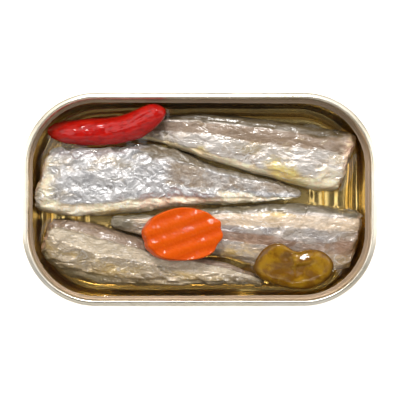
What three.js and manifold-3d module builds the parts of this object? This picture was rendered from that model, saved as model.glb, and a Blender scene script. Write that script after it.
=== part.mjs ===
// An open sardine tin: a drawn body, the crimped ring that the torn-off lid leaves behind, four
// fish in one layer, a red chili, a crinkle-cut carrot slice, a gherkin slice and the oil round them.
// Millimetres, +Z up. The origin is the middle of the underside, +X runs along the tin and
// +Y points to the side where the chili lies.
import * as THREE from 'three';
import { LoftGeometry } from 'three/addons/geometries/LoftGeometry.js';
import { mergeVertices } from 'three/addons/utils/BufferGeometryUtils.js';
import Module from 'manifold-3d';

// The tin over its seam
const LENGTH = 109;
const WIDTH = 65.7;
const HEIGHT = 25;
const CORNER_RADIUS = 22.9;
const CORNER_STEPS = 7;

// Sheet, gaps and levels
const SHEET = 0.5;
const GAP = 0.3;
const OIL_LEVEL = 16.1;
const OIL_CLEARANCE = 0.55;

// The seam: a skirt outside the body wall, a rounded top and a chuck wall that ends in a torn ledge
const SKIRT = 0.6;
const CHUCK = 0.4;
const SEAM_WIDTH = SKIRT + GAP + SHEET + GAP + CHUCK;
const SEAM_HEIGHT = 3.1;
const SEAM_ROUND = 0.8;
const SEAM_BEVEL = 0.3;
const SEAM_ROOF = 0.7;
const SKIRT_CURL = 0.4;
const SHOULDER_DROP = 0.05;
const SHOULDER_BEVEL = 0.45;
const SHOULDER_ROUND = 1.3;
const CHUCK_DEPTH = 4.1;
const LEDGE_REACH = 0.9;
const LEDGE_THICKNESS = 0.35;
const TEAR_STEPS = 0.12;

// The body wall, its taper down to the foot and the foot's rounding
const WALL_INSET = SKIRT + GAP;
const WALL_TAPER = 0.6;
const FOOT_RADIUS = 2.2;
const FOOT_STEPS = 4;

// The floor: a standing channel, then concentric steps towards the middle, as inset and height of its top
const FLOOR_STEPS = [
  [5.2, SHEET],
  [6.3, 1.5],
  [9.6, 1.5],
  [10.6, 1.1],
  [13.8, 1.1],
  [14.8, 1.6],
  [17.3, 1.6],
  [18.5, 1.15],
];

// The fish rest this high, just over the floor's highest step
const KEEL = 1.6 + GAP;
const FISH_RINGS = 25;
const FISH_SIDES = 20;
const CUTTER_RINGS = 11;
const CUTTER_SIDES = 16;

// Each fish runs from its cut end to its tail. A station is x, y, half width, crown height and thickness.
const FISH = {
  sardine_back_right: {
    color: 0xb9ad9b,
    stations: [
      [46.2, 11.6, 8.9, 19.3, 17.2],
      [38, 12.7, 9.6, 19.9, 17.9],
      [28, 14.8, 9.2, 20, 18],
      [16, 17.2, 8.4, 19.8, 17.6],
      [2, 20.1, 6.8, 19, 15.6],
      [-9, 21.8, 5, 17, 12.4],
      [-18, 22.1, 3, 14.1, 8.4],
      [-27, 21.8, 1.9, 11.9, 5.2],
      [-34, 21.6, 1.5, 11.7, 4],
    ],
    slant: 0.2,
    roll: 4,
    seed: 0.4,
  },
  sardine_middle_left: {
    color: 0xc4c2c0,
    stations: [
      [-49.6, 6.6, 9.8, 19, 16.8],
      [-43, 5.6, 10.3, 19.8, 17.8],
      [-33, 5.5, 10.4, 20, 18],
      [-24, 6.1, 10.3, 19.9, 17.9],
      [-15, 7, 10.1, 19.6, 17.4],
      [-6, 6.2, 8.3, 19.2, 16.2],
      [4, 4.5, 6, 18.6, 13.6],
      [15, 3.5, 4.4, 17.9, 11],
      [24, 2.7, 3.1, 17.3, 8],
      [32, 1.6, 1.2, 16.9, 4.4],
    ],
    slant: -0.12,
    roll: 0,
    seed: 1.9,
  },
  sardine_middle_right: {
    color: 0xc2b7a4,
    stations: [
      [49.2, -12.5, 8.9, 18, 15.9],
      [40, -12.6, 10, 18.3, 16.3],
      [31, -12.1, 10.5, 18.3, 16.3],
      [22, -11.6, 10.2, 18.1, 16.1],
      [12, -10.8, 8.7, 17.7, 15.2],
      [2, -9.8, 6.9, 17.3, 13.7],
      [-8, -9.3, 5.1, 17, 11.6],
      [-17, -8.4, 3.5, 16.9, 8.8],
      [-24, -7.4, 2.2, 17, 6.4],
      [-28, -7.1, 1.6, 17.1, 5],
    ],
    slant: 0.2,
    roll: 7,
    seed: 3.1,
  },
  sardine_front_left: {
    color: 0x9c8d74,
    stations: [
      [-48, -11.6, 5.4, 17.7, 14.4],
      [-44.3, -13.4, 7.7, 18.2, 16.1],
      [-38, -15.9, 9, 18.4, 16.4],
      [-30, -18.1, 8.9, 18.3, 16.3],
      [-22, -19.5, 8, 17.8, 15.5],
      [-13, -21.1, 6.2, 17.3, 13.8],
      [-4, -22.3, 4.9, 17.2, 12],
      [6, -23.3, 3.7, 17.3, 9.6],
      [14, -24.7, 2.3, 16.6, 6.4],
      [20.5, -26.4, 1, 14.2, 3.4],
    ],
    slant: 0.1,
    roll: 6,
    seed: 4.6,
  },
};

// A fish's section is a rounded box, squarer above than below, with shallow folds along the skin
const FISH_SQUARE_TOP = 3.8;
const FISH_SQUARE_KEEL = 2.5;
const FISH_FOLD = 0.22;
const FOLD_WAVES = [37, 17];
const FOLD_TWISTS = [3, 2];
const FISH_GROOVE = 0.35;
const GROOVE_ANGLE = 2.2;
const GROOVE_SPREAD = 0.16;
const RELIEF_FADE = 12;
const CUT_REACH = 0.06;
const CUT_FACE = 0.9;
const CUT_RAGGED = 0.55;
const CUT_TEETH = [3, 5];
const CUT_ROUNDING = [
  [0, 0.86],
  [0.007, 0.96],
  [0.02, 1],
];
const TAIL_ROUNDING = [
  [0.985, 1],
  [1, 0.6],
];

// The chili from its tip to its stem: x, y, height of its axis and radius
const CHILI_STATIONS = [
  [-47.3, 20.9, 15.8, 0.9],
  [-45.6, 20.8, 15.8, 2.2],
  [-42, 20.7, 15.8, 3.3],
  [-35, 20.9, 15.8, 3.85],
  [-27, 21.4, 16, 3.95],
  [-20.5, 23, 17.6, 4],
  [-15.8, 25.4, 20, 3.7],
  [-13.3, 27, 21.7, 3.1],
  [-12.4, 28, 22.5, 2.3],
  [-12.1, 28.5, 22.9, 1.2],
];
const CHILI_RINGS = 27;
const CHILI_SIDES = 14;
const CHILI_CUTTER_RINGS = 16;
const CHILI_CUTTER_SIDES = 12;
const CHILI_FLATTEN = 0.92;
const CHILI_TIP = 0.3;
const CHILI_FOLD = 0.03;
const CHILI_FOLDS = 3;
const CHILI_TWIST = 9;

// The carrot slice: an oblique oval cut top and bottom by a ridged blade
const CARROT = {
  x: -5.5,
  y: -11,
  halfLength: 11.7,
  halfWidth: 8.3,
  underside: 18,
  thickness: 3.9,
  ridgePitch: 4.4,
  ridgeDepth: 0.45,
  ridgeAngle: 19,
  lean: 1.6,
  sideLean: 0.3,
  squareness: 2.15,
  slabReach: 1.6,
  outlineSteps: 44,
  waves: 7,
  waveSteps: 8,
};
const CARROT_SWELLS = [
  [0.02, 2, 0.7],
  [0.015, 5, 0],
];

// The gherkin slice: two lobes side by side, drooping from the fish towards the tin's wall
const GHERKIN = {
  x: 29.8,
  y: -21,
  thickness: 3.5,
  height: 18.35,
  slope: 0.32,
  steps: 42,
};
const GHERKIN_OUTLINE = [
  [11.8, 1],
  [8.7, 4.5],
  [4.7, 5.5],
  [0.3, 4.9],
  [-4.9, 7.4],
  [-8.8, 6.3],
  [-11.6, 3],
  [-12.6, -0.8],
  [-10.6, -3.7],
  [-6.2, -5.7],
  [-0.1, -7.1],
  [4.7, -7.1],
  [8.5, -5.5],
  [11.1, -2.9],
];
const GHERKIN_RINGS = [
  [0.25, -0.36],
  [0.6, -0.46],
  [0.88, -0.42],
  [1, -0.16],
  [1, 0.16],
  [0.9, 0.42],
  [0.7, 0.54],
  [0.42, 0.5],
  [0.18, 0.32],
];

const COLORS = {
  tin: 0xd8c79c,
  ring: 0xe2d8c2,
  chili: 0xb80d0a,
  carrot: 0xeb5f0a,
  gherkin: 0x8f6c12,
  oil: 0xc79a34,
};

const wasm = await Module();
wasm.setup();

// One point of a closed surface's ring
const at = (x, y, z) => new THREE.Vector3(x, y, z);

const radians = (degrees) => THREE.MathUtils.degToRad(degrees);

// A signed power, which squares up a circle's sine and cosine
const squared = (value, power) => Math.sign(value) * Math.abs(value) ** (2 / power);

function signedVolume(geometry) {
  const points = geometry.attributes.position;
  const index = geometry.index.array;
  const [a, b, c] = [0, 0, 0].map(() => new THREE.Vector3());
  let sum = 0;
  for (let i = 0; i < index.length; i += 3) {
    a.fromBufferAttribute(points, index[i]);
    b.fromBufferAttribute(points, index[i + 1]);
    c.fromBufferAttribute(points, index[i + 2]);
    sum += a.dot(b.cross(c));
  }
  return sum / 6;
}

// A ring drawn together into its own middle, which closes an end with a fan
function middleOf(ring) {
  const middle = new THREE.Vector3();
  ring.forEach((point) => middle.add(point));
  middle.divideScalar(ring.length);
  return ring.map(() => middle.clone());
}

// A surface through rings of points, with its shared points merged and its flattened triangles dropped
function skinThrough(rings) {
  const wrapped = new LoftGeometry(rings);
  const bare = new THREE.BufferGeometry();
  bare.setAttribute('position', wrapped.attributes.position);
  bare.setIndex(wrapped.index);
  const merged = mergeVertices(bare, 1e-4);
  const index = merged.index.array;
  const kept = [];
  for (let i = 0; i < index.length; i += 3) {
    const [a, b, c] = index.slice(i, i + 3);
    if (a !== b && b !== c && c !== a) {
      kept.push(a, b, c);
    }
  }
  merged.setIndex(kept);
  merged.computeVertexNormals();
  return merged;
}

// A closed body through a series of rings, with its faces out whichever way the rings turn
function loft(rings, capped = true) {
  const closed = capped ? [middleOf(rings[0]), ...rings, middleOf(rings[rings.length - 1])] : rings;
  const geometry = skinThrough(closed);
  if (signedVolume(geometry) > 0) {
    return geometry;
  }
  return skinThrough(closed.map((ring) => ring.slice().reverse()));
}

function solidOf(geometry) {
  return new wasm.Manifold(new wasm.Mesh({
    numProp: 3,
    vertProperties: geometry.attributes.position.array,
    triVerts: new Uint32Array(geometry.index.array),
  }));
}

function geometryOf(solid) {
  const mesh = solid.getMesh();
  const geometry = new THREE.BufferGeometry();
  geometry.setAttribute('position', new THREE.BufferAttribute(mesh.vertProperties, 3));
  geometry.setIndex(new THREE.BufferAttribute(mesh.triVerts, 1));
  geometry.computeVertexNormals();
  return geometry;
}

// The tin's outline, a rectangle with round corners, drawn in by an inset and lifted to a height
function outline(inset, z) {
  const radius = CORNER_RADIUS - inset;
  const ring = [];
  for (let corner = 0; corner < 4; corner += 1) {
    const sideX = corner === 0 || corner === 3 ? 1 : -1;
    const sideY = corner < 2 ? 1 : -1;
    for (let step = 0; step <= CORNER_STEPS; step += 1) {
      const angle = (corner + step / CORNER_STEPS) * Math.PI / 2;
      ring.push(at(
        sideX * (LENGTH / 2 - CORNER_RADIUS) + radius * Math.cos(angle),
        sideY * (WIDTH / 2 - CORNER_RADIUS) + radius * Math.sin(angle),
        z,
      ));
    }
  }
  return ring;
}

// How far the wall's outer face stands in from the seam's outline at a height
const wallInset = (z) => WALL_INSET + WALL_TAPER * Math.max(0, 1 - z / (HEIGHT - CHUCK_DEPTH));

// The quarter round from a vertical wall at an inset down to a level floor
function footRound(inset, floor, radius) {
  return Array.from({ length: FOOT_STEPS + 1 }, (_, step) => {
    const angle = step / FOOT_STEPS * Math.PI / 2;
    return [inset + radius * (1 - Math.cos(angle)), floor + radius * (1 - Math.sin(angle))];
  });
}

// The drawn body, followed from its underside up the outer wall, over the rim and down to the floor
function tinBody() {
  const top = HEIGHT - SEAM_ROOF - GAP;
  const neck = HEIGHT - CHUCK_DEPTH;
  const outer = footRound(wallInset(FOOT_RADIUS), 0, FOOT_RADIUS);
  const inner = footRound(wallInset(FOOT_RADIUS) + SHEET, SHEET, FOOT_RADIUS - SHEET);
  const profile = [
    ...FLOOR_STEPS.map(([inset, z]) => [inset, z - SHEET]).reverse(),
    ...outer.reverse(),
    [wallInset(neck), neck],
    [wallInset(top), top],
    [wallInset(top) + SHEET, top],
    [wallInset(neck) + SHEET, neck],
    ...inner,
    ...FLOOR_STEPS,
  ];
  return loft(profile.map(([inset, z]) => outline(inset, z)));
}

// What is left of the lid: the rounded seam over the body's rim, the chuck wall and the torn ledge
function lidRing() {
  const skirtFoot = HEIGHT - SEAM_HEIGHT;
  const ledge = HEIGHT - CHUCK_DEPTH;
  const roof = HEIGHT - SEAM_ROOF;
  const chuckOut = SEAM_WIDTH - CHUCK;
  const profile = [
    [SKIRT, skirtFoot],
    [SKIRT * SEAM_BEVEL, skirtFoot],
    [0, skirtFoot + SKIRT_CURL],
    [0, HEIGHT - SEAM_ROUND],
    [SEAM_ROUND * SEAM_BEVEL, HEIGHT - SEAM_ROUND * SEAM_BEVEL],
    [SEAM_ROUND, HEIGHT],
    [SEAM_WIDTH - SEAM_ROUND, HEIGHT - SHOULDER_DROP],
    [SEAM_WIDTH - SEAM_ROUND * SEAM_BEVEL, HEIGHT - SEAM_ROUND * SHOULDER_BEVEL],
    [SEAM_WIDTH, HEIGHT - SEAM_ROUND * SHOULDER_ROUND],
    [SEAM_WIDTH, ledge + LEDGE_THICKNESS * 2],
    [SEAM_WIDTH + LEDGE_THICKNESS, ledge + LEDGE_THICKNESS],
    [SEAM_WIDTH + LEDGE_REACH, ledge + LEDGE_THICKNESS - TEAR_STEPS],
    [SEAM_WIDTH + LEDGE_REACH, ledge - TEAR_STEPS],
    [chuckOut + LEDGE_THICKNESS, ledge],
    [chuckOut, ledge + LEDGE_THICKNESS],
    [chuckOut, roof],
    [SKIRT, roof],
  ];
  profile.push(profile[0]);
  return loft(profile.map(([inset, z]) => outline(inset, z)), false);
}

// Shallow folds and a groove along the flank, as a change in the section's reach
function skinRelief(along, angle, seed) {
  const folds = Math.sin(along * FOLD_WAVES[0] + FOLD_TWISTS[0] * angle + seed * 5)
    * Math.sin(along * FOLD_WAVES[1] - FOLD_TWISTS[1] * angle + seed);
  const groove = Math.exp(-(((angle - GROOVE_ANGLE) / GROOVE_SPREAD) ** 2));
  const ends = Math.min(1, RELIEF_FADE * along * (1 - along));
  return ends * (FISH_FOLD * folds - FISH_GROOVE * groove);
}

// How much the section is drawn in at a place along the fish, to round its two ends
function endScale(along) {
  const steps = [...CUT_ROUNDING, ...TAIL_ROUNDING];
  const next = steps.findIndex(([place]) => along <= place);
  if (next <= 0) {
    return steps[0][1];
  }
  const [from, scaleFrom] = steps[next - 1];
  const [to, scaleTo] = steps[next];
  return THREE.MathUtils.mapLinear(along, from, to, scaleFrom, scaleTo);
}

// The stretch between two end roundings, in even steps
function placesAlong(rings) {
  const cut = CUT_ROUNDING.map(([place]) => place);
  const tail = TAIL_ROUNDING.map(([place]) => place);
  const even = Array.from({ length: rings }, (_, i) => (
    THREE.MathUtils.lerp(cut[cut.length - 1], tail[0], (i + 1) / (rings + 1))
  ));
  return [...cut, ...even, ...tail];
}

// One fish as rings across its axis, plain and swollen by a clearance when it serves to cut the oil
function fishRings({ stations, slant, roll, seed }, { rings, sides, swell = 0, relief = true }) {
  const axis = new THREE.CatmullRomCurve3(stations.map(([x, y, , crown]) => at(x, y, crown)));
  const girth = new THREE.CatmullRomCurve3(stations.map(([, , half, , deep]) => at(half, deep, 0)));
  const turn = radians(roll);
  return placesAlong(rings).map((along) => {
    const place = axis.getPoint(along);
    const heading = axis.getTangent(along).setZ(0).normalize();
    const across = at(-heading.y, heading.x, 0);
    const size = girth.getPoint(along);
    const scale = endScale(along);
    const half = size.x * scale + swell;
    const tall = size.y / 2 * scale + swell;
    const middle = place.z - size.y / 2;
    const cutEnd = Math.max(0, 1 - along / CUT_REACH);
    return Array.from({ length: sides }, (_, i) => {
      const angle = i / sides * Math.PI * 2;
      const power = Math.sin(angle) > 0 ? FISH_SQUARE_TOP : FISH_SQUARE_KEEL;
      const skin = relief ? skinRelief(along, angle, seed) : 0;
      const side = squared(Math.cos(angle), power) * (half + skin);
      const up = squared(Math.sin(angle), power) * (tall + skin);
      const level = up * Math.cos(turn) + side * Math.sin(turn) * Math.sign(across.y);
      const teeth = Math.sin(CUT_TEETH[0] * angle + seed) * Math.cos(CUT_TEETH[1] * angle);
      const ragged = relief ? CUT_RAGGED * teeth : 0;
      const beyond = cutEnd > CUT_FACE ? swell : 0;
      const shift = cutEnd * (ragged - slant * side * Math.sign(heading.x)) - beyond;
      const low = Math.max(KEEL - swell, middle + level);
      return at(
        place.x + across.x * side + heading.x * shift,
        place.y + across.y * side + heading.y * shift,
        low,
      );
    });
  });
}

const fish = (spec) => loft(fishRings(spec, { rings: FISH_RINGS, sides: FISH_SIDES }));

const fishCutter = (spec) => loft(fishRings(spec, {
  rings: CUTTER_RINGS,
  sides: CUTTER_SIDES,
  swell: OIL_CLEARANCE,
  relief: false,
}));

// The chili as rings round a curved axis, a little flatter than round, with faint lengthwise folds
function chiliGeometry(rings, sides, swell = 0) {
  const axis = new THREE.CatmullRomCurve3(CHILI_STATIONS.map(([x, y, z]) => at(x, y, z)));
  const girth = new THREE.CatmullRomCurve3(CHILI_STATIONS.map(([, , , r]) => at(r, 0, 0)));
  const ringAt = (_, i) => {
    const along = i / (rings - 1);
    const place = axis.getPoint(along);
    const heading = axis.getTangent(along);
    const across = at(-heading.y, heading.x, 0).normalize();
    const up = heading.clone().cross(across);
    const radius = Math.max(CHILI_TIP, girth.getPoint(along).x) + swell;
    return Array.from({ length: sides }, (__, k) => {
      const angle = k / sides * Math.PI * 2;
      const fold = 1 + CHILI_FOLD * Math.sin(CHILI_FOLDS * angle + CHILI_TWIST * along);
      return place.clone()
        .addScaledVector(across, radius * fold * Math.cos(angle))
        .addScaledVector(up, radius * fold * Math.sin(angle) * CHILI_FLATTEN);
    });
  };
  return loft(Array.from({ length: rings }, ringAt));
}

// A wavy slab, as left by a ridged blade: the same wave on both faces, along the slice's own x
function ridgedSlab(reach, { thickness, ridgePitch, ridgeDepth, waves, waveSteps }) {
  const count = waves * waveSteps;
  const wave = (i) => {
    const y = (i / count - 0.5) * waves * ridgePitch;
    return [y, ridgeDepth * Math.cos(2 * Math.PI * y / ridgePitch)];
  };
  const face = Array.from({ length: count + 1 }, (_, i) => wave(i));
  const section = [
    ...face.map(([y, z]) => [y, z - thickness / 2]),
    ...face.map(([y, z]) => [y, z + thickness / 2]).reverse(),
  ];
  return loft([-reach, reach].map((x) => section.map(([y, z]) => at(x, y, z))));
}

// The slanting oval block that the carrot gives between two cuts
function carrotBlock({ halfLength, halfWidth, thickness, lean, sideLean, squareness, outlineSteps }) {
  const oval = (z) => Array.from({ length: outlineSteps }, (_, i) => {
    const angle = i / outlineSteps * Math.PI * 2;
    const uneven = CARROT_SWELLS.reduce((sum, [size, turns, start]) => (
      sum + size * Math.sin(turns * angle + start)
    ), 1);
    const shift = lean * z / thickness;
    return at(
      halfLength * uneven * squared(Math.cos(angle), squareness) + shift,
      halfWidth * uneven * squared(Math.sin(angle), squareness) + shift * sideLean,
      z,
    );
  });
  return loft([oval(-thickness), oval(thickness)]);
}

function carrotSlice() {
  const slab = solidOf(ridgedSlab(CARROT.halfLength * CARROT.slabReach, CARROT));
  const turned = carrotBlock(CARROT).rotateZ(-radians(CARROT.ridgeAngle));
  const slice = geometryOf(slab.intersect(solidOf(turned)));
  slice.rotateZ(radians(CARROT.ridgeAngle));
  return slice;
}

// The gherkin slice as rings from the middle of its underside, round its edge, to the middle of its top
function gherkinSlice(swell = 0) {
  const { thickness, slope, steps } = GHERKIN;
  const edge = new THREE.CatmullRomCurve3(GHERKIN_OUTLINE.map(([x, y]) => at(x, y, 0)), true);
  const rings = GHERKIN_RINGS.map(([out, up]) => (
    Array.from({ length: steps }, (_, i) => {
      const point = edge.getPoint(i / steps);
      const reach = out * (1 + swell / point.length());
      const y = point.y * reach;
      return at(point.x * reach, y, up * (thickness + 2 * swell) + slope * y);
    })
  ));
  return loft(rings);
}

const chili = () => chiliGeometry(CHILI_RINGS, CHILI_SIDES);

// The inside of the tin up to the oil's level, a gap away from the floor and the wall
function oilBlock() {
  const top = OIL_LEVEL;
  const inset = wallInset(FOOT_RADIUS) + SHEET + GAP;
  const foot = footRound(inset, SHEET + GAP, FOOT_RADIUS - SHEET);
  const [channel] = FLOOR_STEPS;
  const profile = [[wallInset(top) + SHEET + GAP, top], ...foot, [channel[0] - GAP, SHEET + GAP],
    [FLOOR_STEPS[1][0], KEEL]];
  return solidOf(loft(profile.map(([step, z]) => outline(step, z))));
}

// The oil fills what the pieces leave free
function oil(placedGherkin) {
  const cutters = [
    ...Object.values(FISH).map(fishCutter),
    chiliGeometry(CHILI_CUTTER_RINGS, CHILI_CUTTER_SIDES, OIL_CLEARANCE),
    placedGherkin,
  ];
  return geometryOf(cutters.reduce((left, cutter) => left.subtract(solidOf(cutter)), oilBlock()));
}

function mesh(name, geometry, color, roughness, metalness = 0) {
  const material = new THREE.MeshStandardMaterial({ color, roughness, metalness });
  const made = new THREE.Mesh(geometry, material);
  made.name = name;
  return made;
}

function tin() {
  const group = new THREE.Group();
  group.add(mesh('tin_body', tinBody(), COLORS.tin, 0.35, 0.9));
  group.add(mesh('lid_ring', lidRing(), COLORS.ring, 0.3, 0.9));
  return group;
}

function sardines() {
  const group = new THREE.Group();
  Object.entries(FISH).forEach(([name, spec]) => {
    group.add(mesh(name, fish(spec), spec.color, 0.35));
  });
  return group;
}

function toppings() {
  const group = new THREE.Group();
  const carrot = mesh('carrot_slice', carrotSlice(), COLORS.carrot, 0.4);
  carrot.position.set(CARROT.x, CARROT.y, CARROT.underside + CARROT.thickness / 2 + CARROT.ridgeDepth);
  const gherkin = mesh('gherkin_slice', gherkinSlice(), COLORS.gherkin, 0.25);
  gherkin.position.set(GHERKIN.x, GHERKIN.y, GHERKIN.height);
  group.add(mesh('chili', chili(), COLORS.chili, 0.2), carrot, gherkin);
  return group;
}

const sardineTin = new THREE.Group();
sardineTin.name = 'sardine_tin';
sardineTin.add(tin(), sardines(), toppings());
const gherkinCutter = gherkinSlice(OIL_CLEARANCE).translate(GHERKIN.x, GHERKIN.y, GHERKIN.height);
sardineTin.add(mesh('oil', oil(gherkinCutter), COLORS.oil, 0.1));

export default sardineTin;
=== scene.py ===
"""An open oblong tin of sardines in golden oil, with a red chili, a crinkle-cut carrot slice and
a gherkin slice, seen from straight above.

Shapes are worked out in millimetres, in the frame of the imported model, and turned into metres
when a mesh is made.
"""

from __future__ import annotations

import logging
import math
from dataclasses import dataclass, field
from enum import Enum

import bpy
import numpy as np
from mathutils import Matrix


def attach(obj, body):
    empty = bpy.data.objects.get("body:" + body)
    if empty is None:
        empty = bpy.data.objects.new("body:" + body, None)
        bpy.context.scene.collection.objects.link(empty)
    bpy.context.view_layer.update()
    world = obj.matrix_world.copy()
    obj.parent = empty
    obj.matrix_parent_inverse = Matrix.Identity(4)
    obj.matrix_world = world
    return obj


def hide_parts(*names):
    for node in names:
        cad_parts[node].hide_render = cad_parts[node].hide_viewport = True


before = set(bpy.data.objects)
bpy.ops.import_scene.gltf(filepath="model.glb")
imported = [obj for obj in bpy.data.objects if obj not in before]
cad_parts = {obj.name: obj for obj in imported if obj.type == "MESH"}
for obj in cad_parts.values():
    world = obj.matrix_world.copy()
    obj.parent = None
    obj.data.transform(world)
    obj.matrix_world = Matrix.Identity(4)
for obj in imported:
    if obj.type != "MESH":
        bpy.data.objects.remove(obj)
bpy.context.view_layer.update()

LOG = logging.getLogger("sardine_tin")
MM = 0.001
BODY = "root"

Array = np.ndarray
Socket = bpy.types.NodeSocket
Colour = tuple[float, float, float]

CLEAR_WAY: Colour = (0.97, 0.96, 0.92)
WHITE: Colour = (1.0, 1.0, 1.0)


class Slot(Enum):
    """Names of the material slots."""

    TIN = "tin_metal"
    RIM = "rim_metal"
    FISH = "fish_skin"
    CHILI = "chili_skin"
    CARROT = "carrot_flesh"
    GHERKIN = "gherkin_flesh"
    OIL = "golden_oil"


class Zone(Enum):
    """Kinds of skin that a fish shows in places, each kept as a weight on its points."""

    BACK = "back"
    BLUSH = "blush"
    GOLD = "gold"
    CREAM = "cream"
    FLESH = "flesh"


def smoothstep(low: float, high: float, value: Array) -> Array:
    """An S-shaped step from 0 at low to 1 at high: 3t^2 - 2t^3 of the clipped share t.

    Args:
        low: value at which the step starts.
        high: value at which it is done.
        value: where to take it.

    Returns:
        The step, as an array like value.
    """
    share = np.clip((value - low) / (high - low), 0.0, 1.0)
    return share * share * (3.0 - 2.0 * share)


def bell(value: Array, middle: float, spread: float) -> Array:
    """A bell curve, exp of minus the squared distance from its middle in spreads."""
    return np.exp(-(((value - middle) / spread) ** 2))


def squared(value: Array, power: float) -> Array:
    """A signed power 2/power, which squares up a circle's sine or cosine."""
    return np.sign(value) * np.abs(value) ** (2.0 / power)


def way_along(points: Array) -> Array:
    """The way along a polyline of rows of coordinates, from 0 at its first point."""
    return np.concatenate([[0.0], np.cumsum(np.linalg.norm(np.diff(points, axis=0), axis=1))])


def neighbours(grid: Array) -> Array:
    """The sum of each cell's four neighbours, with the edge cells repeated outside the grid."""
    wide = np.pad(grid, 1, mode="edge")
    return wide[2:, 1:-1] + wide[:-2, 1:-1] + wide[1:-1, 2:] + wide[1:-1, :-2]


def between(grid: Array, column: Array, row: Array) -> Array:
    """A grid's values between its points, weighted by nearness along both axes.

    Args:
        grid: values on a lattice.
        column: places along the first axis, in cells.
        row: places along the second axis, in cells.

    Returns:
        One value for each place.
    """
    i, j = column.astype(int), row.astype(int)
    u, v = column - i, row - j
    near = grid[i, j] * (1 - u) + grid[i + 1, j] * u
    far = grid[i, j + 1] * (1 - u) + grid[i + 1, j + 1] * u
    return near * (1 - v) + far * v


def closed_spline(knots: Array, places: Array) -> Array:
    """A spline that runs through the knots and back to the first, by three knots of overlap.

    Args:
        knots: rows of coordinates that the curve passes.
        places: where to take it, from 0 at the first knot to 1 at the first again.

    Returns:
        One row of coordinates for each place.
    """
    rows = np.asarray(knots, float)
    around = np.vstack([rows[-3:], rows, rows[:3]])
    return spline(around, (3.0 + len(rows) * places) / (len(rows) + 5.0))


def spline(knots: Array, places: Array) -> Array:
    """A centripetal Catmull-Rom curve through the knots.

    Each span is a cubic whose end slopes come from the neighbouring knots, weighted by the square
    root of the distances between them, and the ends are carried on as mirror images.

    Args:
        knots: rows of coordinates that the curve passes.
        places: where to take it, from 0 at the first knot to 1 at the last.

    Returns:
        One row of coordinates for each place.
    """
    rows = np.asarray(knots, float)
    first = 2.0 * rows[0] - rows[1]
    last = 2.0 * rows[-1] - rows[-2]
    run = np.vstack([first, rows, last])
    span = np.clip(places, 0.0, 1.0) * (len(rows) - 1)
    index = np.minimum(span.astype(int), len(rows) - 2)
    part = (span - index)[:, None]
    before, start, stop, after = (run[index + step] for step in range(4))
    gap = [
        np.sqrt(np.linalg.norm(b - a, axis=1, keepdims=True)) + 1e-9
        for a, b in ((before, start), (start, stop), (stop, after))
    ]
    out_slope = (
        (start - before) / gap[0] - (stop - before) / (gap[0] + gap[1]) + (stop - start) / gap[1]
    ) * gap[1]
    in_slope = (
        (stop - start) / gap[1] - (after - start) / (gap[1] + gap[2]) + (after - stop) / gap[2]
    ) * gap[1]
    square = -3.0 * start + 3.0 * stop - 2.0 * out_slope - in_slope
    cube = 2.0 * start - 2.0 * stop + out_slope + in_slope
    return start + part * (out_slope + part * (square + part * cube))


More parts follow.
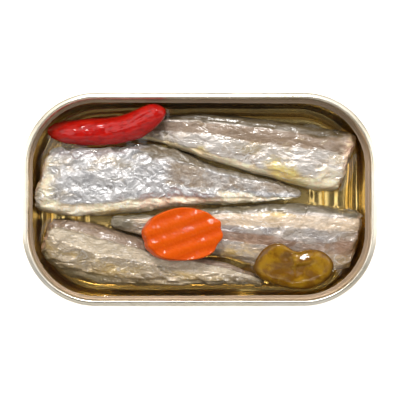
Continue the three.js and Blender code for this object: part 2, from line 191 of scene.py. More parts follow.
@dataclass(frozen=True)
class Grain:
    """Seeded random relief: the same numbers on every run."""

    seed: int

    def tables(self) -> tuple[Array, Array]:
        """A shuffled order of 256 numbers and 256 random directions.

        Returns:
            The order and the directions, one row each.
        """
        rng = np.random.default_rng(self.seed)
        directions = rng.normal(size=(256, 3))
        return rng.permutation(256), directions / np.linalg.norm(directions, axis=1, keepdims=True)

    def smooth(self, points: Array) -> Array:
        """Gradient noise: eight corner slopes of the unit cell blended by 6t^5 - 15t^4 + 10t^3.

        Args:
            points: places in cells, last axis of length 3.

        Returns:
            Values from about -1 to 1.
        """
        order, directions = self.tables()
        cell = np.floor(points).astype(np.int64)
        part = points - cell
        fade = part**3 * (part * (part * 6.0 - 15.0) + 10.0)
        total = np.zeros(points.shape[:-1])
        for corner in np.ndindex(2, 2, 2):
            step = np.array(corner)
            place = (cell + step) & 255
            key = order[(place[..., 0]) & 255]
            key = order[(key + place[..., 1]) & 255]
            key = order[(key + place[..., 2]) & 255]
            weight = np.prod(np.where(step == 1, fade, 1.0 - fade), axis=-1)
            total += weight * np.sum(directions[key] * (part - step), axis=-1)
        return 1.6 * total

    def layered(self, points: Array, octaves: int = 3) -> Array:
        """Smooth noise at doubling frequencies and halving strengths, added up.

        Args:
            points: places in cells, last axis of length 3.
            octaves: how many noises are added.

        Returns:
            Values from about -2 to 2.
        """
        return sum(
            self.smooth(points * 2.0**octave + 7.3 * octave) / 2.0**octave
            for octave in range(octaves)
        )

    def ridged(self, points: Array, octaves: int = 3) -> Array:
        """0.55 minus the size of smooth noise, layered: sharp crests between round hollows.

        Args:
            points: places in cells, last axis of length 3.
            octaves: how many noises are added.

        Returns:
            Values from about -1 to 1.
        """
        return sum(
            (0.55 - np.abs(self.smooth(points * 2.0**octave + 3.1 * octave))) / 2.0**octave
            for octave in range(octaves)
        )

    def facets(self, across: Array, along: Array, pitch: float, tilt: float,
               sharp: float = 11.0) -> Array:
        """Crumpled foil: tilted planes round scattered middles, blended by nearness.

        The lattice of squares of one pitch has one middle in each, put off at random. Every middle
        carries a plane with a random tilt, and a place takes the planes of the nine nearest
        squares, weighted by exp(-sharp * squared distance in pitches).

        Args:
            across: first coordinate in millimetres.
            along: second coordinate in millimetres.
            pitch: size of a facet in millimetres.
            tilt: steepest slope of a facet.
            sharp: how narrow the blend between neighbours is.

        Returns:
            The height in millimetres.
        """
        rng = np.random.default_rng(self.seed + 1)
        order = rng.permutation(256)
        middles = rng.uniform(-0.38, 0.38, size=(256, 2))
        planes = rng.uniform(-tilt, tilt, size=(256, 2))
        lifts = rng.uniform(-0.25, 0.25, size=256) * tilt
        first, second = across / pitch, along / pitch
        cell_first, cell_second = np.floor(first).astype(int), np.floor(second).astype(int)
        height = np.zeros(first.shape)
        weights = np.full(first.shape, 1e-9)
        for step in np.ndindex(3, 3):
            here_first, here_second = cell_first + step[0] - 1, cell_second + step[1] - 1
            key = order[(order[here_first & 255] + here_second) & 255]
            from_first = first - (here_first + 0.5 + middles[key, 0])
            from_second = second - (here_second + 0.5 + middles[key, 1])
            weight = np.exp(-sharp * (from_first**2 + from_second**2))
            height += weight * (planes[key, 0] * from_first + planes[key, 1] * from_second + lifts[key])
            weights += weight
        return pitch * height / weights


@dataclass
class Surface:
    """A grid of points that closes on itself, with named values on its points.

    Rows run along the piece and columns round it. The last column meets the first. The last row
    meets the first on a ring-shaped piece, and otherwise each end row closes on its own middle.
    """

    points: Array
    looped: bool = False
    values: dict[str, Array] = field(default_factory=dict)

    def quads(self) -> Array:
        """The four-sided faces between neighbouring rows and columns.

        Returns:
            Their corners as rows of indices.
        """
        rows, columns = self.points.shape[:2]
        index = np.arange(rows * columns).reshape(rows, columns)
        below = index if self.looped else index[:-1]
        above = np.roll(index, -1, axis=0) if self.looped else index[1:]
        corners = (below, np.roll(below, -1, axis=1), np.roll(above, -1, axis=1), above)
        return np.stack([corner.ravel() for corner in corners], axis=1)

    def fans(self) -> Array:
        """The triangles that close the two end rows on added middle points.

        Returns:
            Their corners as rows of indices, the first row's triangles first.
        """
        rows, columns = self.points.shape[:2]
        start = np.arange(columns)
        stop = start + (rows - 1) * columns
        near = np.full(columns, rows * columns)
        return np.vstack([
            np.stack([near, np.roll(start, -1), start], axis=1),
            np.stack([near + 1, stop, np.roll(stop, -1)], axis=1),
        ])

    def flat(self, value: Array) -> Array:
        """Point values in mesh order, with the means of the end rows for the added middles.

        Args:
            value: the values on the grid.

        Returns:
            One row for each point of the mesh.
        """
        rows = value.reshape(self.points.shape[0] * self.points.shape[1], -1)
        if self.looped:
            return rows
        ends = [value[end].reshape(value.shape[1], -1).mean(axis=0) for end in (0, -1)]
        return np.vstack([rows, *ends])

    def mesh(self, name: str) -> bpy.types.Mesh:
        """Makes the mesh in metres, smooth, with its faces outwards.

        Args:
            name: name of the mesh.

        Returns:
            The mesh with one attribute for each named value.
        """
        co = self.flat(self.points)
        quads = self.quads()
        fans = np.empty((0, 3), int) if self.looped else self.fans()
        if volume(co, quads, fans) < 0.0:
            quads, fans = quads[:, ::-1], fans[:, ::-1]
        made = bpy.data.meshes.new(name)
        made.from_pydata((co * MM).tolist(), [], quads.tolist() + fans.tolist())
        made.polygons.foreach_set("use_smooth", np.ones(len(made.polygons), bool))
        for key, value in self.values.items():
            rows = self.flat(value)
            kind = "FLOAT" if rows.shape[1] == 1 else "FLOAT_VECTOR"
            attribute = made.attributes.new(key, kind, "POINT")
            attribute.data.foreach_set("value" if kind == "FLOAT" else "vector", rows.ravel())
        made.update()
        return made


def volume(points: Array, quads: Array, fans: Array) -> float:
    """Six times the space inside a closed mesh: the sum of the corner vectors' triple products.

    Args:
        points: rows of coordinates.
        quads: index rows of four-sided faces.
        fans: index rows of triangles.

    Returns:
        A number that is positive where the faces point outwards.
    """
    triangles = np.vstack([quads[:, [0, 1, 2]], quads[:, [0, 2, 3]], fans])
    a, b, c = (points[triangles[:, corner]] for corner in range(3))
    return float(np.sum(a * np.cross(b, c)))


def add_piece(name: str, mesh: bpy.types.Mesh, material: bpy.types.Material,
              node: str | None = None) -> bpy.types.Object:
    """Puts a finished mesh into the scene, on the tin's one body.

    Args:
        name: name of the piece.
        mesh: its mesh.
        material: its finish.
        node: the solid that it stands for, if any.

    Returns:
        The new object.
    """
    piece = bpy.data.objects.new(name, mesh)
    bpy.context.scene.collection.objects.link(piece)
    mesh.materials.append(material)
    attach(piece, BODY)
    if node:
        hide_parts(node)
    LOG.info("%s: %d faces", name, len(mesh.polygons))
    return piece


class Finish:
    """A material's node tree, grown call by call."""

    def __init__(self, name: str) -> None:
        """Starts an empty material."""
        self.material = bpy.data.materials.new(name)
        self.material.use_nodes = True
        self.tree = self.material.node_tree
        self.tree.nodes.clear()

    def add(self, kind: str, inputs: dict | None = None, **settings: object) -> bpy.types.Node:
        """Adds a node.

        Args:
            kind: the node's type.
            inputs: socket name or number to a value or to another node's output.
            settings: properties of the node itself.

        Returns:
            The node.
        """
        node = self.tree.nodes.new(kind)
        for key, value in settings.items():
            setattr(node, key, value)
        for key, value in (inputs or {}).items():
            if isinstance(value, Socket):
                self.tree.links.new(value, node.inputs[key])
            else:
                node.inputs[key].default_value = value
        return node

    def value(self, name: str) -> Socket:
        """A number kept on the piece's points."""
        return self.add("ShaderNodeAttribute", attribute_name=name).outputs["Fac"]

    def place(self, name: str = "") -> Socket:
        """The piece's own coordinates, or a vector kept on its points."""
        if name:
            return self.add("ShaderNodeAttribute", attribute_name=name).outputs["Vector"]
        return self.add("ShaderNodeTexCoord").outputs["Object"]

    def stretched(self, vector: Socket, scale: tuple[float, float, float]) -> Socket:
        """The coordinates times a scale along each axis."""
        return self.add("ShaderNodeMapping", {"Vector": vector, "Scale": scale}).outputs["Vector"]

    def noise(self, vector: Socket, scale: float, detail: float = 3.0, roughness: float = 0.55,
              distortion: float = 0.0) -> Socket:
        """Cloudy noise from 0 to 1."""
        return self.add("ShaderNodeTexNoise", {
            "Vector": vector, "Scale": scale, "Detail": detail, "Roughness": roughness,
            "Distortion": distortion,
        }).outputs["Fac"]

    def drawn(self, vector: Socket, along: float, across: float, detail: float, roughness: float,
              distortion: float) -> Socket:
        """Noise drawn out along the tin, by its cells per metre along it and across it."""
        place = self.stretched(vector, (along, across, across))
        return self.noise(place, 1.0, detail, roughness, distortion)

    def cells(self, vector: Socket, scale: float) -> Socket:
        """A cell pattern: the distance to the nearest cell's middle."""
        return self.add("ShaderNodeTexVoronoi", {"Vector": vector, "Scale": scale}).outputs["Distance"]

    def maths(self, operation: str, first: Socket | float, second: Socket | float = 0.0) -> Socket:
        """One number worked out from one or two others by the named operation."""
        return self.add("ShaderNodeMath", {0: first, 1: second}, operation=operation).outputs[0]

    def levels(self, value: Socket, low: float, high: float, start: float = 0.0,
               stop: float = 1.0) -> Socket:
        """Maps low..high to start..stop, clipped and eased."""
        return self.add("ShaderNodeMapRange", {
            "Value": value, "From Min": low, "From Max": high, "To Min": start, "To Max": stop,
        }, interpolation_type="SMOOTHSTEP").outputs[0]

    def mix(self, share: Socket | float, first: Socket | Colour, second: Socket | Colour) -> Socket:
        """A mix of two colours, the second by its share."""
        sides = [side if isinstance(side, Socket) else (*side, 1.0) for side in (first, second)]
        return self.add("ShaderNodeMix", {0: share, 6: sides[0], 7: sides[1]}, data_type="RGBA").outputs[2]

    def bump(self, height: Socket, distance: float, strength: float = 1.0,
             normal: Socket | None = None) -> Socket:
        """A normal bent by a height whose full range is the distance in metres.

        Args:
            height: the height, from 0 to 1.
            distance: what its full range stands for, in metres.
            strength: share of the bend that is kept.
            normal: a normal that is bent already.

        Returns:
            The bent normal.
        """
        inputs = {"Height": height, "Distance": distance, "Strength": strength}
        if normal is not None:
            inputs["Normal"] = normal
        return self.add("ShaderNodeBump", inputs).outputs["Normal"]

    def shade(self, inputs: dict) -> bpy.types.Material:
        """Ends the tree in one surface shader.

        Args:
            inputs: socket name to value or output of the surface shader.

        Returns:
            The finished material.
        """
        shader = self.add("ShaderNodeBsdfPrincipled", inputs)
        self.add("ShaderNodeOutputMaterial", {"Surface": shader.outputs["BSDF"]})
        return self.material

    def shade_clear(self, inputs: dict, colour: Colour, density: float) -> bpy.types.Material:
        """Ends the tree in a clear surface over an absorbing depth. Shadow rays pass straight through.

        Args:
            inputs: socket name to value or output of the surface shader.
            colour: what the depth lets through.
            density: how strongly it absorbs, per metre.

        Returns:
            The finished material.
        """
        shader = self.add("ShaderNodeBsdfPrincipled", inputs)
        open_way = self.add("ShaderNodeBsdfTransparent", {"Color": (*CLEAR_WAY, 1.0)})
        surface = self.add("ShaderNodeMixShader", {
            0: self.add("ShaderNodeLightPath").outputs["Is Shadow Ray"],
            1: shader.outputs["BSDF"],
            2: open_way.outputs["BSDF"],
        })
        depth = self.add("ShaderNodeVolumeAbsorption", {"Color": (*colour, 1.0), "Density": density})
        self.add("ShaderNodeOutputMaterial", {
            "Surface": surface.outputs["Shader"], "Volume": depth.outputs["Volume"],
        })
        return self.material


@dataclass(frozen=True)
class SatinMetal:
    """Champagne-coloured aluminium with faint drawing marks, bright where it is handled."""

    name: str = "champagne_aluminium"
    colour: Colour = (0.82, 0.74, 0.59)
    worn: Colour = (0.86, 0.80, 0.69)
    torn: Colour = (0.42, 0.31, 0.22)
    roughness: float = 0.28
    torn_roughness: float = 0.46

    def material(self) -> bpy.types.Material:
        """Builds the finish: cloudy tint, fine dust and marks that run round the seam.

        Returns:
            The material.
        """
        finish = Finish(self.name)
        here = finish.place()
        cloud = finish.noise(here, 90.0, 3.0)
        run = finish.place("run")
        marks = finish.noise(finish.stretched(run, (0.35, 14.0, 1.0)), 1.0, 2.0, 0.6)
        dust = finish.noise(here, 1500.0, 2.0)
        ledge = finish.value("ledge")
        tint = finish.mix(finish.levels(cloud, 0.42, 0.66), self.colour, self.worn)
        tint = finish.mix(ledge, tint, self.torn)
        uneven = finish.maths("ADD", marks, cloud)
        rough = finish.levels(uneven, 0.7, 1.3, self.roughness - 0.05, self.roughness + 0.08)
        rough = finish.maths("MAXIMUM", rough, finish.maths("MULTIPLY", ledge, self.torn_roughness))
        relief = finish.bump(marks, 0.00002, 0.35)
        return finish.shade({
            "Base Color": tint,
            "Metallic": 1.0,
            "Roughness": rough,
            "Normal": finish.bump(dust, 0.00001, 0.3, relief),
        })


@dataclass(frozen=True)
class LacqueredMetal:
    """Drawn aluminium: gold lacquer inside and champagne outside."""

    name: str = "gold_lacquer"
    gold: Colour = (0.92, 0.78, 0.46)
    deep_gold: Colour = (0.82, 0.64, 0.30)
    outside: Colour = (0.50, 0.445, 0.36)
    least_rough: float = 0.14
    most_rough: float = 0.26

    def material(self) -> bpy.types.Material:
        """Builds the finish: lacquer of uneven depth inside, drawing marks up the wall.

        Returns:
            The material.
        """
        finish = Finish(self.name)
        here = finish.place()
        cloud = finish.noise(here, 120.0, 4.0, 0.6)
        run = finish.place("run")
        marks = finish.noise(finish.stretched(run, (1.6, 0.12, 1.0)), 1.0, 3.0, 0.6)
        lacquer = finish.mix(finish.levels(cloud, 0.35, 0.7), self.gold, self.deep_gold)
        tint = finish.mix(finish.value("inside"), self.outside, lacquer)
        uneven = finish.maths("ADD", marks, cloud)
        rough = finish.levels(uneven, 0.7, 1.3, self.least_rough, self.most_rough)
        return finish.shade({
            "Base Color": tint,
            "Metallic": 1.0,
            "Roughness": rough,
            "Normal": finish.bump(marks, 0.000004, 0.3),
        })


@dataclass(frozen=True)
class WetFishSkin:
    """Silver foil-like skin under a film of oil, with back, belly and torn places of their own."""

    name: str
    silver: Colour = (0.64, 0.63, 0.61)
    shadow: Colour = (0.22, 0.20, 0.18)
    bloom: Colour = (0.47, 0.46, 0.48)
    back: Colour = (0.13, 0.105, 0.06)
    blush: Colour = (0.40, 0.29, 0.22)
    gold: Colour = (0.62, 0.42, 0.13)
    cream: Colour = (0.68, 0.60, 0.47)
    flesh: Colour = (0.50, 0.29, 0.20)
    warm: Colour = (0.50, 0.40, 0.28)
    glint_tint: Colour = (0.88, 0.87, 0.86)
    vein_tint: Colour = (0.92, 0.91, 0.90)
    crinkle: float = 1.0
    glint: float = 0.25
    vein: float = 0.65
    sleek: float = 0.6
    roundness: float = 1.0

    def zoned(self, finish: Finish, colour: Socket, mottle: Socket,
              wander: Socket) -> tuple[Socket, dict[Zone, Socket]]:
        """Lays the tints of the skin's zones over the silver, with wandering edges.

        Args:
            finish: the material in the making.
            colour: the silver's colour.
            mottle: small noise that varies each tint.
            wander: what is added to a zone's weight, so that its edge wanders.

        Returns:
            The colour, and the share that each zone has of it.
        """
        shares = {}
        for zone, tint, depth in (
            (Zone.CREAM, self.cream, 0.9),
            (Zone.BLUSH, self.blush, 0.92),
            (Zone.GOLD, self.gold, 0.92),
            (Zone.BACK, self.back, 0.95),
        ):
            weight = finish.maths("ADD", finish.value(zone.value), wander)
            shares[zone] = finish.levels(weight, 0.12, 0.9, 0.0, depth)
            lighter = tuple(min(1.0, 1.3 * part + 0.015) for part in tint)
            varied = finish.mix(finish.levels(mottle, 0.38, 0.68), tint, lighter)
            colour = finish.mix(shares[zone], colour, varied)
        return colour, shares

    def material(self) -> bpy.types.Material:
        """Builds the finish from patches and threads drawn out along the tin, and the skin's zones.

        Painted shade darkens the creases, and painted highlights, fine glints and thin white lines,
        lighten the silver. Back and blush take these painted highlights away, and the bands of cream,
        back and blush are smoother than the silver between them.

        Returns:
            The material.
        """
        finish = Finish(self.name)
        here = finish.place()
        crease = finish.value("crease")
        broad = finish.drawn(here, 75.0, 140.0, 3.0, 0.55, 0.6)
        patches = finish.drawn(here, 170.0 * self.roundness, 290.0, 3.0, 0.5, 0.7)
        mottle = finish.drawn(here, 430.0 * self.roundness, 680.0, 3.0, 0.55, 0.8)
        fine = finish.drawn(here, 1200.0, 2000.0, 2.0, 0.5, 0.5)
        threads = finish.drawn(here, 190.0 * self.roundness, 400.0, 2.0, 0.45, 1.1)
        off_middle = finish.maths("ABSOLUTE", finish.maths("SUBTRACT", threads, 0.5))
        veins = finish.levels(off_middle, 0.0, 0.028, 1.0, 0.0)
        veins = finish.maths("MULTIPLY", veins, finish.levels(patches, 0.42, 0.58))
        colour = finish.mix(finish.levels(patches, 0.42, 0.62), self.silver, self.bloom)
        colour = finish.mix(finish.levels(broad, 0.5, 0.68, 0.0, 0.7), colour, self.warm)
        # painted shade: the silver darkens patchily towards the shadow colour in the skin's creases
        sunken = finish.levels(crease, 0.2, -0.6, 0.15, 0.85)
        dark = finish.maths("MULTIPLY", finish.levels(mottle, 0.5, 0.34), sunken)
        colour = finish.mix(dark, colour, self.shadow)
        wander = finish.levels(finish.maths("ADD", broad, patches), 0.75, 1.25, -0.25, 0.25)
        colour, shares = self.zoned(finish, colour, mottle, wander)
        dull = finish.maths("MAXIMUM", shares[Zone.BACK], shares[Zone.BLUSH])
        shiny = finish.levels(dull, 0.1, 0.9, 1.0, 0.15)
        # painted highlight: specks of the fine noise lighten the shiny silver towards near white, as glints
        glints = finish.levels(fine, 0.56, 0.72, 0.0, self.glint)
        colour = finish.mix(finish.maths("MULTIPLY", shiny, glints), colour, self.glint_tint)
        # painted highlight: thin white lines lighten the shiny silver where crinkles would catch the light
        bright_veins = finish.maths("MULTIPLY", veins, self.vein)
        colour = finish.mix(finish.maths("MULTIPLY", shiny, bright_veins), colour, self.vein_tint)
        flesh = finish.value(Zone.FLESH.value)
        torn = finish.mix(finish.levels(mottle, 0.4, 0.62), self.flesh, self.cream)
        colour = finish.mix(flesh, colour, torn)
        plain = finish.maths("MAXIMUM", finish.maths("MAXIMUM", shares[Zone.CREAM], dull), flesh)
        banded = finish.maths("MAXIMUM", finish.value(Zone.CREAM.value), dull)
        calm = finish.levels(banded, 0.2, 1.0, 1.0, self.sleek)
        folds = finish.bump(finish.maths("MULTIPLY", threads, calm), 0.0013 * self.crinkle, 0.7)
        crinkles = finish.bump(mottle, 0.00045 * self.crinkle, 0.7, folds)
        return finish.shade({
            "Base Color": colour,
            "Metallic": finish.levels(plain, 0.0, 1.0, 0.4, 0.03),
            "Roughness": finish.levels(mottle, 0.3, 0.7, 0.28, 0.42),
            "Normal": finish.bump(fine, 0.00007 * self.crinkle, 0.6, crinkles),
            "Coat Weight": 0.9,
            "Coat Roughness": 0.06,
            "Coat IOR": 1.42,
            "Coat Normal": finish.bump(mottle, 0.0003, 0.5, folds),
        })


@dataclass(frozen=True)
class ChiliSkin:
    """Thin waxy red skin, taut and wet, a little lighter along its folds."""

    name: str = "wet_red_chili"
    red: Colour = (0.46, 0.003, 0.0005)
    light_red: Colour = (0.56, 0.012, 0.003)
    dark_red: Colour = (0.22, 0.004, 0.003)

    def material(self) -> bpy.types.Material:
        """Builds the finish: lengthwise streaks, faint mottling and small dimples.

        Returns:
            The material.
        """
        finish = Finish(self.name)
        skin = finish.place("skin")
        streaks = finish.noise(finish.stretched(skin, (0.10, 1.1, 1.0)), 1.0, 3.0, 0.6, 0.4)
        mottle = finish.noise(finish.stretched(skin, (0.5, 0.7, 1.0)), 1.0, 3.0, 0.6)
        dimples = finish.noise(finish.stretched(skin, (0.55, 0.95, 1.0)), 1.0, 2.0, 0.5, 0.6)
        ripples = finish.noise(finish.stretched(skin, (0.42, 0.62, 1.0)), 1.0, 1.0, 0.4, 0.7)
        tint = finish.mix(finish.levels(streaks, 0.45, 0.75), self.red, self.light_red)
        tint = finish.mix(finish.levels(mottle, 0.6, 0.28, 0.0, 0.6), tint, self.dark_red)
        return finish.shade({
            "Base Color": tint,
            "Roughness": finish.levels(mottle, 0.3, 0.7, 0.4, 0.5),
            "Specular IOR Level": 0.06,
            "Normal": finish.bump(dimples, 0.00018, 0.6),
            "Subsurface Weight": 0.1,
            "Subsurface Radius": (0.002, 0.0006, 0.0004),
            "Subsurface Scale": 1.0,
            "Coat Weight": 1.0,
            "Coat Roughness": 0.02,
            "Coat IOR": 1.42,
            "Coat Normal": finish.bump(ripples, 0.0003, 0.8),
        })


@dataclass(frozen=True)
class CarrotFlesh:
    """Moist orange carrot with fine fibres, and painted shade in the blade's furrows."""

    name: str = "moist_carrot"
    orange: Colour = (0.66, 0.085, 0.001)
    deep: Colour = (0.60, 0.068, 0.001)
    light: Colour = (0.69, 0.10, 0.002)

    def material(self) -> bpy.types.Material:
        """Builds the finish: painted shade in the furrows, lighter clouds and a fine wet grain.

        Returns:
            The material.
        """
        finish = Finish(self.name)
        here = finish.place()
        grain = finish.noise(here, 1400.0, 3.0, 0.6)
        cloud = finish.noise(here, 240.0, 3.0, 0.55)
        pores = finish.cells(here, 1100.0)
        # painted shade: the orange darkens in the blade's furrows
        tint = finish.mix(finish.value("furrow"), self.orange, self.deep)
        tint = finish.mix(finish.levels(cloud, 0.45, 0.72, 0.0, 0.6), tint, self.light)
        relief = finish.bump(cloud, 0.0005, 0.5)
        relief = finish.bump(pores, 0.00012, 0.45, relief)
        film = finish.bump(finish.noise(here, 520.0, 1.0, 0.4), 0.0007, 0.6)
        return finish.shade({
            "Base Color": tint,
            "Roughness": finish.levels(cloud, 0.35, 0.7, 0.4, 0.55),
            "Specular IOR Level": 0.06,
            "Normal": finish.bump(grain, 0.00008, 0.5, relief),
            "Subsurface Weight": 0.15,
            "Subsurface Radius": (0.0025, 0.0008, 0.0003),
            "Subsurface Scale": 1.0,
            "Coat Weight": 0.55,
            "Coat Roughness": 0.07,
            "Coat IOR": 1.33,
            "Coat Normal": film,
        })


@dataclass(frozen=True)
class GherkinFlesh:
    """Glassy olive-amber gherkin, darker at its skin, paler where the flesh is thick."""

    name: str = "glassy_gherkin"
    olive: Colour = (0.19, 0.078, 0.001)
    skin: Colour = (0.13, 0.055, 0.001)
    pale: Colour = (0.36, 0.19, 0.006)
    seed: Colour = (0.40, 0.25, 0.04)

    def material(self) -> bpy.types.Material:
        """Builds the finish: cloudy flesh, a darker skin edge, seeds and a wet film.

        Returns:
            The material.
        """
        finish = Finish(self.name)
        here = finish.place()
        cloud = finish.noise(here, 180.0, 4.0, 0.6, 0.5)
        fibres = finish.noise(here, 700.0, 3.0, 0.6)
        tint = finish.mix(finish.levels(cloud, 0.42, 0.62), self.olive, self.pale)
        tint = finish.mix(finish.value("edge"), tint, self.skin)
        tint = finish.mix(finish.value("seed"), tint, self.seed)
        tint = finish.mix(finish.levels(fibres, 0.55, 0.8, 0.0, 0.35), tint, self.pale)
        relief = finish.bump(cloud, 0.0006, 0.4)
        film = finish.bump(finish.noise(here, 420.0, 1.0, 0.4), 0.00012, 0.5)
        return finish.shade({
            "Base Color": tint,
            "Roughness": finish.levels(cloud, 0.3, 0.7, 0.35, 0.5),
            "Specular IOR Level": 0.08,
            "Normal": finish.bump(fibres, 0.00012, 0.4, relief),
            "Subsurface Weight": 0.5,
            "Subsurface Radius": (0.003, 0.0018, 0.0004),
            "Subsurface Scale": 1.0,
            "Coat Weight": 1.0,
            "Coat Roughness": 0.03,
            "Coat IOR": 1.38,
            "Coat Normal": film,
        })


@dataclass(frozen=True)
class GoldenOil:
    """Clear golden oil, which takes out blue and then green with depth."""

    name: str = "golden_oil"
    tint: Colour = (0.94, 0.81, 0.42)
    density: float = 33.0

    def material(self) -> bpy.types.Material:
        """Builds the finish: a clear surface, barely moved, over an absorbing depth.

        Returns:
            The material.
        """
        finish = Finish(self.name)
        here = finish.place()
        swell = finish.noise(here, 160.0, 2.0, 0.5)
        return finish.shade_clear({
            "Base Color": (1.0, 0.985, 0.94, 1.0),
            "Roughness": 0.0,
            "IOR": 1.47,
            "Transmission Weight": 1.0,
            "Normal": finish.bump(swell, 0.0004, 0.35),
        }, self.tint, self.density)


@dataclass(frozen=True)
class PaleFloor:
    """A plain white studio surface."""

    name: str = "pale_floor"
    colour: Colour = (0.93, 0.93, 0.93)
    clouded: Colour = (0.95, 0.95, 0.95)
    glow: float = 0.6

    def material(self) -> bpy.types.Material:
        """Builds the finish: matt white with the faintest clouding and a glow that evens it out.

        Returns:
            The material.
        """
        finish = Finish(self.name)
        cloud = finish.noise(finish.place(), 4.0, 2.0)
        tint = finish.mix(finish.levels(cloud, 0.3, 0.7), self.colour, self.clouded)
        return finish.shade({
            "Base Color": tint,
            "Roughness": 0.9,
            "Specular IOR Level": 0.1,
            "Emission Color": (*WHITE, 1.0),
            "Emission Strength": self.glow,
        })


@dataclass(frozen=True)
class Outline:
    """The tin's outline: a rectangle with round corners, sampled evenly round its length."""

    length: float = 109.0
    width: float = 65.7
    corner: float = 22.9
    samples: int = 560

    def round(self) -> tuple[Array, Array, Array]:
        """The outline's points, the directions outwards there, and the way round so far.

        On a straight side the direction is square to it. On a corner it runs from the corner's
        middle, so a ring at an inset is the outline less inset times direction.

        Returns:
            Points and directions as rows of x and y, and the way round in millimetres.
        """
        straight_x, straight_y = self.length - 2 * self.corner, self.width - 2 * self.corner
        arc = math.pi / 2 * self.corner
        half_round = [arc, straight_x, arc]
        legs = np.array([straight_y / 2, *half_round, straight_y, *half_round, straight_y / 2])
        ends = np.concatenate([[0.0], np.cumsum(legs)])
        way = np.arange(self.samples) / self.samples * ends[-1]
        leg = np.searchsorted(ends, way, side="right") - 1
        part = (way - ends[leg]) / legs[leg]
        quarter = (leg + 1) // 2
        turn = np.where(leg % 2 == 1, quarter - 1 + part, quarter) * math.pi / 2
        turn = np.where(leg == 8, 2 * math.pi, turn)
        normal = np.stack([np.cos(turn), np.sin(turn)], axis=1)
        half_x, half_y = straight_x / 2, straight_y / 2
        middle_x = np.select(
            [leg == 2, leg == 6, (leg < 2) | (leg > 6)],
            [half_x * (1 - 2 * part), half_x * (2 * part - 1), half_x], -half_x,
        )
        middle_y = np.select(
            [leg == 0, leg == 4, leg == 8, leg < 4],
            [half_y * part, half_y * (1 - 2 * part), half_y * (part - 1), half_y], -half_y,
        )
        middle = np.stack([middle_x, middle_y], axis=1)
        return middle + self.corner * normal, normal, way

    def rings(self, inset: Array, height: Array) -> Array:
        """Rings of the outline at insets and heights.

        Args:
            inset: how far in, one for each ring, or a table of rings by samples.
            height: how high, in the same form.

        Returns:
            A grid of points, rings by samples.
        """
        edge, normal, _ = self.round()
        inset, height = (
            np.broadcast_to(table if table.ndim > 1 else table[:, None], (len(table), self.samples))
            for table in (inset, height)
        )
        flat = edge[None] - inset[..., None] * normal[None]
        return np.concatenate([flat, height[..., None]], axis=-1)


def eased(profile: Array, rounds: int = 3) -> Array:
    """A polyline with its corners cut a quarter of the way in, several times over.

    Args:
        profile: rows of inset and height.
        rounds: how often the corners are cut.

    Returns:
        The finer, rounder polyline.
    """
    run = np.asarray(profile, float)
    for _ in range(rounds):
        start, stop = run[:-1], run[1:]
        cut = np.stack([0.75 * start + 0.25 * stop, 0.25 * start + 0.75 * stop], axis=1)
        run = np.vstack([run[:1], cut.reshape(-1, 2), run[-1:]])
    return run


def refined(profile: Array, step: float) -> Array:
    """A polyline with points added so that none of its legs is longer than a step.

    Args:
        profile: rows of inset and height.
        step: longest leg, in millimetres.

    Returns:
        The refined polyline.
    """
    run = np.asarray(profile, float)
    way = way_along(run)
    extra = np.concatenate([
        np.linspace(a, b, max(1, math.ceil((b - a) / step)), endpoint=False)
        for a, b in zip(way[:-1], way[1:])
    ] + [way[-1:]])
    return np.stack([np.interp(extra, way, run[:, axis]) for axis in (0, 1)], axis=1)


